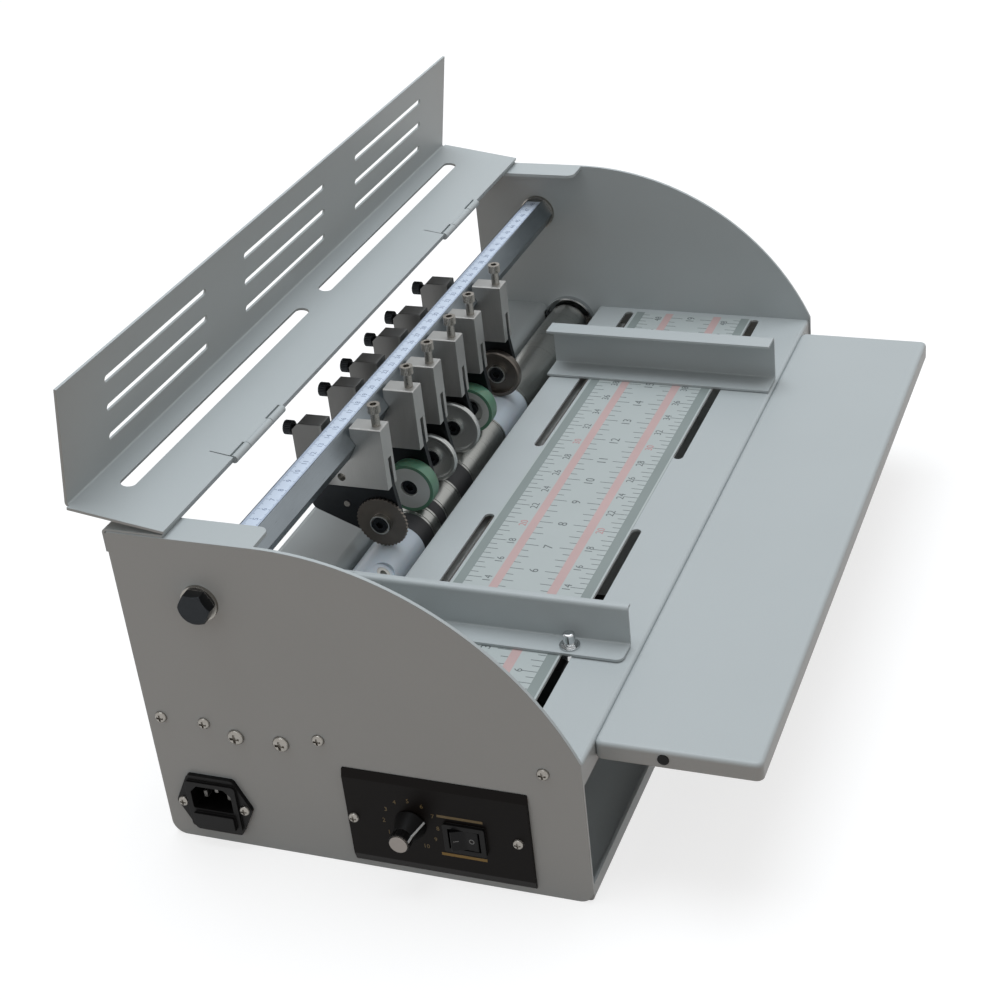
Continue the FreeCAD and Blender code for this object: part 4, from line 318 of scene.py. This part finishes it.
# Contact pins with a dull nickel flash.
PIN_NICKEL = Finish("nickel_flash_dull", "#7d7b78", 0.42, 1.0, grain=0.5, relief=0.003, tint=0.08)
# Drawn brass standoffs and pins on the board.
BRASS = Finish("brass_pin_drawn", "#b8974f", 0.3, 1.0, grain=0.5, relief=0.003, tint=0.08)
# Circuit board lacquer, glossy green.
SOLDER_MASK = Finish("circuit_board_solder_mask", "#1f5a3a", 0.32, grain=0.6, relief=0.01, tint=0.15,
                     patch=6.0)
# Moulded epoxy of the board's components.
COMPONENT_BLACK = Finish("epoxy_moulded_component", "#222326", 0.5, grain=0.4, relief=0.006)


@dataclass(frozen=True)
class Spot:
    """A face by its middle, and the loose part that it lies on by its limits, in millimetres."""

    face: Vector
    low: Vector
    high: Vector

    @property
    def size(self) -> Vector:
        """Returns the loose part's size."""
        return self.high - self.low


@dataclass(frozen=True)
class Zone:
    """Loose parts or faces of a node with a finish of their own."""

    finish: Finish
    holds: Callable[[Spot], bool]


def spots(mesh: bpy.types.Mesh) -> list[Spot]:
    """Finds the loose part of every face, with corners at one place taken as joined.

    Args:
        mesh: Mesh of a CAD node.

    Returns:
        One entry for each face, in the mesh's order.
    """
    owner: dict[Vector, Vector] = {}

    def root(key: Vector) -> Vector:
        """Follows a corner to the one that stands for its loose part.

        Args:
            key: The corner.

        Returns:
            The corner that the whole part shares.
        """
        while owner[key] != key:
            owner[key] = owner[owner[key]]
            key = owner[key]
        return key

    keys = [(vertex.co / MM).freeze() for vertex in mesh.vertices]
    keys = [Vector(round(value, SAME_PLACE) for value in key).freeze() for key in keys]
    for key in keys:
        owner.setdefault(key, key)
    for face in mesh.polygons:
        first, *others = (root(keys[index]) for index in face.vertices)
        for other in others:
            owner[root(other)] = root(first)
    limits: dict[Vector, tuple[Vector, Vector]] = {}
    for key in keys:
        low, high = limits.setdefault(root(key), (key.copy(), key.copy()))
        for axis in range(3):
            low[axis], high[axis] = min(low[axis], key[axis]), max(high[axis], key[axis])
    return [Spot(face.center / MM, *limits[root(keys[face.vertices[0]])]) for face in mesh.polygons]


def dress(node: str, finish: Finish, *zones: Zone) -> None:
    """Gives a CAD node its materials.

    Args:
        node: Name of the CAD node.
        finish: Finish of the node as a whole.
        zones: Regions with another finish; the last that holds a face wins.
    """
    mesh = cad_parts[node].data
    mesh.materials.clear()
    for part in (finish, *(zone.finish for zone in zones)):
        mesh.materials.append(part.material())
    if zones:
        for face, spot in zip(mesh.polygons, spots(mesh)):
            chosen = [index for index, zone in enumerate(zones, 1) if zone.holds(spot)]
            face.material_index = chosen[-1] if chosen else 0
    LOG.info("dressed %s: %s", node, finish.name)


class Assembly:
    """A sub-assembly of the machine."""

    def dress(self) -> None:
        """Gives its CAD nodes their finishes."""

    def build(self) -> None:
        """Adds the pieces that are made here; a sub-assembly without any adds none."""


@dataclass
class Print:
    """Closed thin shapes of ink on a face of the machine, gathered into one piece.

    Sizes are in millimetres. frame_of maps the print's own right, up and outward axes into the machine's.
    """

    name: str
    body: str
    slot: str
    finish: Finish
    frame_of: Matrix
    above: float = 0.05
    below: float = 0.03

    def __post_init__(self) -> None:
        """Starts with an empty mesh."""
        self.shapes = bmesh.new()

    def bar(self, across: tuple[float, float], up: tuple[float, float]) -> None:
        """Adds a filled rectangle.

        Args:
            across: Its limits to the right.
            up: Its limits upwards.
        """
        corners = [(across[0], up[0]), (across[1], up[0]), (across[1], up[1]), (across[0], up[1])]
        self.prism(corners)

    def prism(self, corners: Iterable[tuple[float, float]]) -> None:
        """Adds a filled outline, given anticlockwise.

        Args:
            corners: Its corners in the print's plane.
        """
        corners = list(corners)
        low = [self.shapes.verts.new(self.at(u, v, -self.below)) for u, v in corners]
        high = [self.shapes.verts.new(self.at(u, v, self.above)) for u, v in corners]
        self.shapes.faces.new(high)
        self.shapes.faces.new(low[::-1])
        count = len(corners)
        for i in range(count):
            j = (i + 1) % count
            self.shapes.faces.new((low[i], low[j], high[j], high[i]))

    def ring(self, centre: tuple[float, float], outer: float, inner: float, steps: int = 28) -> None:
        """Adds a ring as a band of short blocks that share their corners.

        Args:
            centre: Its middle.
            outer: Its outer radius.
            inner: Its inner radius.
            steps: Blocks round it.
        """
        rows = []
        for i in range(steps):
            turn = 2.0 * math.pi * i / steps
            c, s = math.cos(turn), math.sin(turn)
            rows.append([self.shapes.verts.new(self.at(centre[0] + r * c, centre[1] + r * s, h))
                         for r, h in ((outer, -self.below), (outer, self.above),
                                      (inner, self.above), (inner, -self.below))])
        count = len(rows[0])
        for here, following in zip(rows, rows[1:] + rows[:1]):
            for i in range(count):
                j = (i + 1) % count
                self.shapes.faces.new((here[i], following[i], following[j], here[j]))

    def numeral(self, text: str, centre: tuple[float, float], height: float) -> None:
        """Adds characters from Blender's own plain typeface.

        Args:
            text: What they read.
            centre: Where their middle goes.
            height: Their height.
        """
        curve = bpy.data.curves.new("numeral", "FONT")
        curve.body = text
        curve.extrude = LETTER_DEPTH
        curve.resolution_u = LETTER_CURVES
        holder = bpy.data.objects.new("numeral", curve)
        mesh = bpy.data.meshes.new_from_object(holder)
        lows, highs = ([f(v.co[i] for v in mesh.vertices) for i in range(3)] for f in (min, max))
        middle = Vector((low + high) / 2.0 for low, high in zip(lows, highs))
        scale = height / (highs[1] - lows[1])
        thick = (self.above + self.below) / (highs[2] - lows[2])
        fit = Matrix.Diagonal((scale, scale, thick, 1.0)) @ Matrix.Translation(-middle)
        seat = Matrix.Translation((centre[0], centre[1], (self.above - self.below) / 2.0))
        mesh.transform(self.frame_of @ Matrix.Scale(MM, 4) @ seat @ fit)
        self.shapes.from_mesh(mesh)
        bpy.data.objects.remove(holder)
        bpy.data.curves.remove(curve)
        bpy.data.meshes.remove(mesh)

    def at(self, u: float, v: float, w: float) -> Vector:
        """Returns the place in the machine's frame, in metres, of a point of the print."""
        return self.frame_of @ Vector((u * MM, v * MM, w * MM))

    def make(self) -> bpy.types.Object:
        """Turns the gathered shapes into one piece that rides on its body.

        Returns:
            The piece.
        """
        bmesh.ops.recalc_face_normals(self.shapes, faces=self.shapes.faces)
        mesh = bpy.data.meshes.new(self.name)
        self.shapes.to_mesh(mesh)
        self.shapes.free()
        mesh.materials.append(self.finish.material())
        piece = bpy.data.objects.new(self.name, mesh)
        bpy.context.scene.collection.objects.link(piece)
        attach(piece, self.body)
        LOG.info("made %s: %d faces", self.name, len(mesh.polygons))
        return piece


def facing(right: tuple[float, float, float], up: tuple[float, float, float],
           origin: tuple[float, float, float]) -> Matrix:
    """Builds the frame of a printed face.

    Args:
        right: Direction of reading.
        up: Direction from a character's foot to its head.
        origin: A point of the face, in millimetres.

    Returns:
        Matrix from the print's axes to the machine's, in metres.
    """
    x, y = Vector(right), Vector(up)
    basis = Matrix((x, y, x.cross(y))).transposed().to_4x4()
    return Matrix.Translation(Vector(origin) * MM) @ basis


@dataclass
class Ruler(Assembly):
    """Printed ruler on the bed: two centimetre scales outside an inch scale. Lengths in millimetres."""

    zero_x: float = -243.0
    reach: float = 486.0
    margin: float = 1.2
    border: float = 7.0
    inch: float = 25.4
    inch_parts: int = 4
    inch_lengths: tuple[float, float, float] = (8.2, 6.6, 4.2)
    steps: tuple[int, int, int] = (20, 10, 5)
    lengths: tuple[float, float, float] = (8.6, 7.0, 4.6)
    red_step: int = 100
    end_room: float = 4.0
    line: float = 0.46
    band_height: float = 0.02
    pink_rear: tuple[float, float] = (-24.0, -18.6)
    pink_front: tuple[float, float] = (-58.8, -53.2)
    rear_numbers: float = -14.9
    middle_numbers: float = -38.2
    front_numbers: float = -62.4
    number_height: float = 4.6
    inch_height: float = 5.6

    def build(self) -> None:
        """Lays the bands, the divisions and the numbers on the film."""
        low, high = (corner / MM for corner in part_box("ruler_sheet"))
        face = facing((1, 0, 0), (0, 1, 0), (0, 0, high.z))
        ends = (low.x, high.x)
        grey = Print("ruler_borders", "case", "ruler", GREY_INK, face, above=self.band_height)
        for edge, sign in ((high.y, -1.0), (low.y, 1.0)):
            band = sorted((edge + sign * self.margin, edge + sign * self.border))
            grey.bar(ends, (band[0], band[1]))
        grey.make()
        pink = Print("ruler_bands", "case", "ruler", PINK_INK, face, above=self.band_height)
        for band in (self.pink_rear, self.pink_front):
            pink.bar(ends, band)
        pink.make()
        black = Print("ruler_divisions", "case", "ruler", BLACK_INK, face)
        red = Print("ruler_tens", "case", "ruler", RED_INK, face)
        self.centimetres(black, red, high.y - self.border, -1.0, self.rear_numbers)
        self.centimetres(black, red, low.y + self.border, 1.0, self.front_numbers)
        self.inches(black)
        black.make()
        red.make()

    def centimetres(self, black: Print, red: Print, start: float, sign: float, numbers: float) -> None:
        """Draws one centimetre scale.

        Args:
            black: Ink of the divisions.
            red: Ink of the number at each whole decimetre.
            start: Where its divisions start, along Y.
            sign: Direction of the divisions along Y.
            numbers: Middle of its numbers, along Y.
        """
        half = self.line / 2.0
        numbered, centimetre, fine = self.steps
        for step in range(0, int(self.reach) + 1, fine):
            length = self.lengths[0 if step % numbered == 0 else 1 if step % centimetre == 0 else 2]
            x = self.zero_x + step
            ends = sorted((start, start + sign * length))
            black.bar((x - half, x + half), (ends[0], ends[1]))
            if step % numbered == 0 and 0 < step < self.reach - self.end_room:
                ink = red if step % self.red_step == 0 else black
                ink.numeral(str(step // centimetre), (x, numbers), self.number_height)

    def inches(self, black: Print) -> None:
        """Draws the inch scale, with divisions on both sides of its numbers.

        Args:
            black: Ink of the divisions and the numbers.
        """
        half = self.line / 2.0
        whole = self.inch_parts
        for step in range(int(self.reach / self.inch * whole) + 1):
            x = self.zero_x + step * self.inch / whole
            length = self.inch_lengths[0 if step % whole == 0 else 1 if step % (whole // 2) == 0 else 2]
            black.bar((x - half, x + half), (self.pink_front[1], self.pink_front[1] + length))
            black.bar((x - half, x + half), (self.pink_rear[0] - length, self.pink_rear[0]))
            if step % whole == 0 and step > 0:
                black.numeral(str(step // whole), (x, self.middle_numbers), self.inch_height)

    def dress(self) -> None:
        """Gives the sheet its film."""
        dress("ruler_sheet", RULER_FILM)


@dataclass
class BarTape(Assembly):
    """Measuring tape on top of the hexagonal bar. Lengths in millimetres."""

    reach: float = 480.0
    line: float = 0.28
    number_height: float = 3.2
    number_drop: float = 0.6
    steps: tuple[int, int] = (10, 5)
    lengths: tuple[float, float, float] = (3.4, 2.6, 1.7)
    front_share: float = 0.6
    ink_height: float = 0.04
    washer_size: float = 4.0

    def build(self) -> None:
        """Draws millimetre divisions along both edges and a number at each centimetre."""
        low, high = (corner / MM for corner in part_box("scale_tape"))
        face = facing((1, 0, 0), (0, 1, 0), (0, 0, high.z))
        ink = Print("tape_divisions", "case", "tape", TAPE_INK, face, above=self.ink_height)
        zero = (low.x + high.x - self.reach) / 2.0
        half = self.line / 2.0
        centimetre, middle = self.steps
        numbers = (low.y + high.y) / 2.0 - self.number_drop
        for step in range(int(self.reach) + 1):
            x = zero + step
            length = self.lengths[0 if step % centimetre == 0 else 1 if step % middle == 0 else 2]
            ink.bar((x - half, x + half), (high.y - length, high.y))
            ink.bar((x - half, x + half), (low.y, low.y + length * self.front_share))
            if step % centimetre == 0 and step > 0:
                ink.numeral(str(step // centimetre), (x, numbers), self.number_height)
        ink.make()

    def dress(self) -> None:
        """Gives the tape and its bar their finishes."""
        dress("scale_tape", TAPE_FILM)
        dress("hex_bar", DRAWN_STEEL)
        dress("bar_bolts", BLACK_OXIDE, Zone(NICKEL_PLATE, lambda spot: spot.size.x < self.washer_size))


@dataclass
class Casework(Assembly):
    """Painted sheet-steel case with its screws. Lengths in millimetres."""

    painted: tuple[str, ...] = ("side_plate_left", "side_plate_right", "base_pan", "output_plate",
                                "top_rail", "cover")
    angle_size: float = 30.0
    shade_plug_size: float = 10.0

    def dress(self) -> None:
        """Paints the sheets and plates the screws."""
        for node in self.painted:
            dress(node, POWDER_COAT)
        dress("bed_plate", POWDER_COAT, Zone(ZINC_SHEET, lambda spot: spot.size.y < self.angle_size))
        # The black plug in the tray's end hole is a dark piece put there as painted shade, for the dark seen
        # through the hole.
        dress("infeed_tray", POWDER_COAT, Zone(MOULDED_BLACK, lambda spot: spot.size.y < self.shade_plug_size))
        dress("case_screws", NICKEL_PLATE)


@dataclass
class SideGuide(Assembly):
    """One of the two sheet side guides with its clamping screws."""

    side: str

    def dress(self) -> None:
        """Paints the guide and plates its screws."""
        dress(f"guide_{self.side}", POWDER_COAT)
        dress(f"guide_{self.side}_screws", CHROME_PLATE)


@dataclass
class Drive(Assembly):
    """Roller, bearings, belt, motor and speed controller. Lengths in millimetres."""

    can_start: float = -190.0
    screw_size: float = 10.0
    board_size: float = 2.0
    standoff_size: float = 7.0

    def dress(self) -> None:
        """Finishes each piece of the drive."""
        dress("roller_shaft", TURNED_STEEL)
        dress("roller_steel", TURNED_STEEL)
        dress("roller_nylon", NYLON)
        dress("roller_rubber", ROLLER_RUBBER)
        dress("roller_bearings", CHROME_PLATE, Zone(NICKEL_PLATE, lambda spot: spot.size.z < self.screw_size))
        dress("motor_pulley", TURNED_ALUMINIUM)
        dress("drive_belt", BELT_RUBBER)
        dress("gear_motor", CAST_ZINC, Zone(MOTOR_ENAMEL, lambda spot: spot.face.x > self.can_start))
        dress("electronics", COMPONENT_BLACK, Zone(SOLDER_MASK, lambda spot: spot.size.z < self.board_size),
              Zone(BRASS, lambda spot: self.board_size < max(spot.size.x, spot.size.z) < self.standoff_size))


@dataclass
class Controls(Assembly):
    """Control panel with its speed dial and switch, and the mains inlet. Lengths in millimetres."""

    dial_y: float = -25.0
    dial_z: float = 35.0
    dial_radius: float = 15.0
    dial_start: float = 240.0
    dial_step: float = 30.0
    dial_steps: int = 10
    number_height: float = 2.6
    switch_y: float = -54.8
    switch_z: float = 31.3
    bar_across: tuple[float, float] = (-14.5, 10.5)
    bar_upper: tuple[float, float] = (11.3, 12.9)
    bar_lower: tuple[float, float] = (-13.5, -11.7)
    mark_offset: float = 4.0
    mark_dash: tuple[float, float] = (1.4, 0.25)
    mark_ring: tuple[float, float] = (1.5, 1.0)
    mark_print: tuple[float, float] = (0.06, 0.25)
    probe_x: float = -300.0
    pointer_turn: float = 20.0
    pointer_half: float = 0.6
    pointer_print: tuple[float, float] = (0.1, 0.6)
    cap_height: float = 1.0
    skirt_height: float = 10.0
    skirt_radius: float = 8.6
    grip_radius: float = 5.8
    grip_length: float = 5.0
    housing_size: float = 40.0
    screw_size: float = 8.0
    cap_size: float = 1.5
    shaft_size: float = 7.0
    pin_size: float = 4.5

    def build(self) -> None:
        """Prints the dial, the bars beside the switch, the knob's pointer and the rocker's marks."""
        panel_x = self.panel_face()
        face = facing((0, -1, 0), (0, 0, 1), (panel_x, self.dial_y, self.dial_z))
        ink = Print("dial_numbers", "case", "panel", OLIVE_INK, face)
        for step in range(self.dial_steps + 1):
            turn = math.radians(self.dial_start - self.dial_step * step)
            place = (self.dial_radius * math.cos(turn), self.dial_radius * math.sin(turn))
            ink.numeral(str(step), place, self.number_height)
        ink.make()
        face = facing((0, -1, 0), (0, 0, 1), (panel_x, self.switch_y, self.switch_z))
        upper = Print("switch_bar_upper", "case", "panel", OLIVE_INK, face)
        upper.bar(self.bar_across, self.bar_upper)
        upper.make()
        lower = Print("switch_bar_lower", "case", "panel", YELLOW_INK, face)
        lower.bar(self.bar_across, self.bar_lower)
        lower.make()
        self.pointer()
        self.marks()

    def panel_face(self) -> float:
        """Returns where the panel's outer face is, along X, from the plate of the largest loose part."""
        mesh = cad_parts["control_panel"].data
        return max(spots(mesh), key=lambda spot: spot.size.y).low.x

    def pointer(self) -> None:
        """Prints the knob's pointer line down its grip and its flared skirt."""
        turn = math.radians(self.pointer_turn)
        out = Vector((0.0, -math.cos(turn), math.sin(turn)))
        hub = Vector((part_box("speed_knob")[0].x / MM + self.cap_height, self.dial_y, self.dial_z))
        grip = hub + Vector((self.grip_length / 2.0, 0.0, 0.0)) + out * self.grip_radius
        self.stroke("knob_pointer_grip", Vector((1.0, 0.0, 0.0)), out, grip, self.grip_length / 2.0)
        flare = self.skirt_radius - self.grip_radius
        slope = Vector((self.skirt_height, 0.0, 0.0)) + out * flare
        outward = Vector((-flare, 0.0, 0.0)) + out * self.skirt_height
        skirt = hub + Vector((self.grip_length + self.skirt_height / 2.0, 0.0, 0.0))
        skirt += out * (self.grip_radius + flare / 2.0)
        self.stroke("knob_pointer_skirt", slope.normalized(), outward.normalized(), skirt, slope.length / 2.0)

    def stroke(self, name: str, along: Vector, outward: Vector, middle: Vector, half: float) -> None:
        """Prints one straight piece of the pointer.

        Args:
            name: Name of the piece.
            along: Its direction.
            outward: Normal of the surface it lies on.
            middle: Its middle, in millimetres.
            half: Half its length.
        """
        face = facing(tuple(along), tuple(outward.cross(along)), tuple(middle))
        line = Print(name, "speed_knob", "knob", WHITE_INK, face, *self.pointer_print)
        line.bar((-half, half), (-self.pointer_half, self.pointer_half))
        line.make()

    def marks(self) -> None:
        """Puts the on and off marks on the two halves of the rocker, where the face is."""
        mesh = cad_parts["switch_rocker"].data
        tree = BVHTree.FromPolygons([v.co for v in mesh.vertices], [tuple(f.vertices) for f in mesh.polygons])
        for name, sign in (("rocker_on_mark", 1.0), ("rocker_off_mark", -1.0)):
            start = Vector((self.probe_x, self.switch_y + sign * self.mark_offset, self.switch_z)) * MM
            place, normal, _, _ = tree.ray_cast(start, Vector((1.0, 0.0, 0.0)))
            normal = normal if normal.x < 0 else -normal
            right = Vector((0, 0, 1)).cross(normal).normalized()
            face = facing(tuple(right), (0, 0, 1), tuple(place / MM))
            mark = Print(name, "switch_rocker", "rocker", MARK_INK, face, *self.mark_print)
            if sign > 0:
                across, up = self.mark_dash
                mark.bar((-across, across), (-up, up))
            else:
                mark.ring((0.0, 0.0), *self.mark_ring)
            mark.make()

    def dress(self) -> None:
        """Finishes the panel, the switch, the knob and the inlet."""
        dress("control_panel", PANEL_BLACK, Zone(MOULDED_BLACK, lambda spot: spot.size.y < self.housing_size),
              Zone(NICKEL_PLATE, lambda spot: spot.size.y < self.screw_size))
        dress("speed_knob", MOULDED_BLACK, Zone(SPUN_ALUMINIUM, lambda spot: spot.size.x < self.cap_size),
              Zone(TURNED_STEEL, lambda spot: spot.size.y < self.shaft_size))
        dress("switch_rocker", ROCKER_BLACK)
        dress("power_inlet", MOULDED_BLACK, Zone(NICKEL_PLATE, lambda spot: spot.size.z < self.screw_size),
              Zone(PIN_NICKEL, lambda spot: spot.size.y < self.pin_size))


@dataclass
class ToolStation(Assembly):
    """A tool holder on the bar with its screws, arm and wheel. Lengths in millimetres."""

    number: int
    feeding: tuple[int, ...] = (2, 5)
    creasing: tuple[int, ...] = (3, 4)
    axle_y: float = 54.5
    hub_radius: float = 6.1
    tyre_reach: float = 1.5
    pin_size: float = 5.5

    def dress(self) -> None:
        """Finishes the station's pieces by the wheel that it carries."""
        n = self.number
        dress(f"holder_{n}", MILLED_ALUMINIUM)
        dress(f"clamp_screw_{n}", BLACK_OXIDE)
        dress(f"adjust_screw_{n}", NICKEL_PLATE)
        dress(f"tool_arm_{n}", BLACK_OXIDE, Zone(NICKEL_PLATE, lambda spot: spot.size.y < self.pin_size))
        wheel = f"tool_wheel_{n}"
        low, high = (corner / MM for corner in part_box(wheel))
        middle, radius = (low.z + high.z) / 2.0, (high.z - low.z) / 2.0
        if n in self.feeding:
            dress(wheel, HUB_ALUMINIUM,
                  Zone(POLYURETHANE, lambda spot: spot.high.z > high.z - self.tyre_reach))
        elif n in self.creasing:
            dress(wheel, GROUND_STEEL)
        else:
            dress(wheel, TOOL_STEEL, Zone(TURNED_STEEL, lambda spot: math.hypot(
                spot.face.y - self.axle_y, spot.face.z - middle) < min(self.hub_radius, radius)))


@dataclass
class Studio:
    """Floor, soft light and camera. Lengths in metres, but the lens and its sensor in millimetres."""

    lens: float = 69.18
    sensor: float = 36.0
    shift: tuple[float, float] = (-0.0489, -0.0101)
    place: tuple[float, float, float] = (-0.9340, -0.3946, 0.6671)
    right: tuple[float, float, float] = (0.327374, -0.940866, -0.087158)
    up: tuple[float, float, float] = (0.499565, 0.094049, 0.861156)
    back: tuple[float, float, float] = (-0.802036, -0.325461, 0.500813)
    floor_half: float = 7.0
    key_place: tuple[float, float, float] = (0.45, 0.2, 2.9)
    key_size: float = 2.2
    key_power: float = 59.0
    key_colour: str = "#f2f9ff"
    fill: float = 0.40
    fill_colour: str = "#fdfdfd"
    seen_colour: str = "#ffffff"
    floor_paper: str = "#a3a3a3"
    floor_bounce: str = "#a08572"
    floor_glow: float = 0.74

    def build(self) -> None:
        """Sets up camera, floor, world and lamp."""
        self.camera()
        self.floor()
        self.world()
        self.key()
        bpy.context.scene.view_settings.view_transform = "Standard"

    def camera(self) -> None:
        """Places the camera."""
        data = bpy.data.cameras.new("camera")
        data.lens, data.sensor_width = self.lens, self.sensor
        data.shift_x, data.shift_y = self.shift
        camera = bpy.data.objects.new("camera", data)
        axes = Matrix((self.right, self.up, self.back)).transposed().to_4x4()
        camera.matrix_world = Matrix.Translation(self.place) @ axes
        bpy.context.scene.collection.objects.link(camera)
        bpy.context.scene.camera = camera

    def floor(self) -> None:
        """Lays a pale floor that keeps the shadow."""
        shape = bmesh.new()
        half = self.floor_half
        square = ((-half, -half), (half, -half), (half, half), (-half, half))
        shape.faces.new([shape.verts.new((x, y, 0.0)) for x, y in square])
        mesh = bpy.data.meshes.new("floor")
        shape.to_mesh(mesh)
        shape.free()
        material = bpy.data.materials.new("floor_paper_white")
        material.use_nodes = True
        tree = material.node_tree
        path = add_node(tree, "LightPath")
        seen = add_node(tree, "Math", {0: path.outputs["Is Camera Ray"], 1: path.outputs["Is Glossy Ray"]},
                        operation="MAXIMUM").outputs["Value"]
        paper = add_node(tree, "BsdfDiffuse", {"Color": linear(self.floor_paper)}).outputs["BSDF"]
        glow = add_node(tree, "Emission", {"Color": linear(self.seen_colour),
                                           "Strength": self.floor_glow}).outputs["Emission"]
        lit = add_node(tree, "AddShader", {0: paper, 1: glow}).outputs["Shader"]
        dull = add_node(tree, "BsdfDiffuse", {"Color": linear(self.floor_bounce)}).outputs["BSDF"]
        mixed = add_node(tree, "MixShader", {0: seen, 1: dull, 2: lit}).outputs["Shader"]
        tree.links.new(mixed, tree.nodes["Material Output"].inputs["Surface"])
        mesh.materials.append(material)
        floor = bpy.data.objects.new("floor", mesh)
        bpy.context.scene.collection.objects.link(floor)

    def world(self) -> None:
        """Makes the world white where it is seen, and a soft fill elsewhere."""
        world = bpy.data.worlds.new("studio")
        bpy.context.scene.world = world
        world.use_nodes = True
        tree = world.node_tree
        tree.nodes.clear()
        path = add_node(tree, "LightPath").outputs
        seen = add_node(tree, "Math", {0: path["Is Camera Ray"], 1: path["Is Glossy Ray"]},
                        operation="MAXIMUM").outputs["Value"]
        seen = add_node(tree, "Math", {0: seen, 1: path["Is Transmission Ray"]},
                        operation="MAXIMUM").outputs["Value"]
        soft = add_node(tree, "Background", {"Color": linear(self.fill_colour), "Strength": self.fill})
        white = add_node(tree, "Background", {"Color": linear(self.seen_colour), "Strength": 1.0})
        mixed = add_node(tree, "MixShader", {0: seen, 1: soft.outputs[0], 2: white.outputs[0]})
        output = add_node(tree, "OutputWorld", {"Surface": mixed.outputs[0]})
        output.is_active_output = True

    def key(self) -> None:
        """Hangs one large soft lamp above the machine, a little behind and to its right."""
        data = bpy.data.lights.new("key", "AREA")
        data.shape, data.size, data.energy = "SQUARE", self.key_size, self.key_power
        data.color = linear(self.key_colour)[:3]
        lamp = bpy.data.objects.new("key", data)
        lamp.location = self.key_place
        lamp.rotation_euler = Vector(self.key_place).to_track_quat("Z", "Y").to_euler()
        bpy.context.scene.collection.objects.link(lamp)


def main() -> None:
    """Builds and dresses the machine, then its studio."""
    logging.basicConfig(level=logging.INFO, format="%(message)s")
    assemblies = [Casework(), Ruler(), BarTape(), SideGuide("left"), SideGuide("right"), Drive(), Controls(),
                  *(ToolStation(number) for number in range(1, 7))]
    for assembly in assemblies:
        assembly.dress()
        assembly.build()
        LOG.info("%s done", type(assembly).__name__)
    Studio().build()


if __name__ == "__main__":
    main()
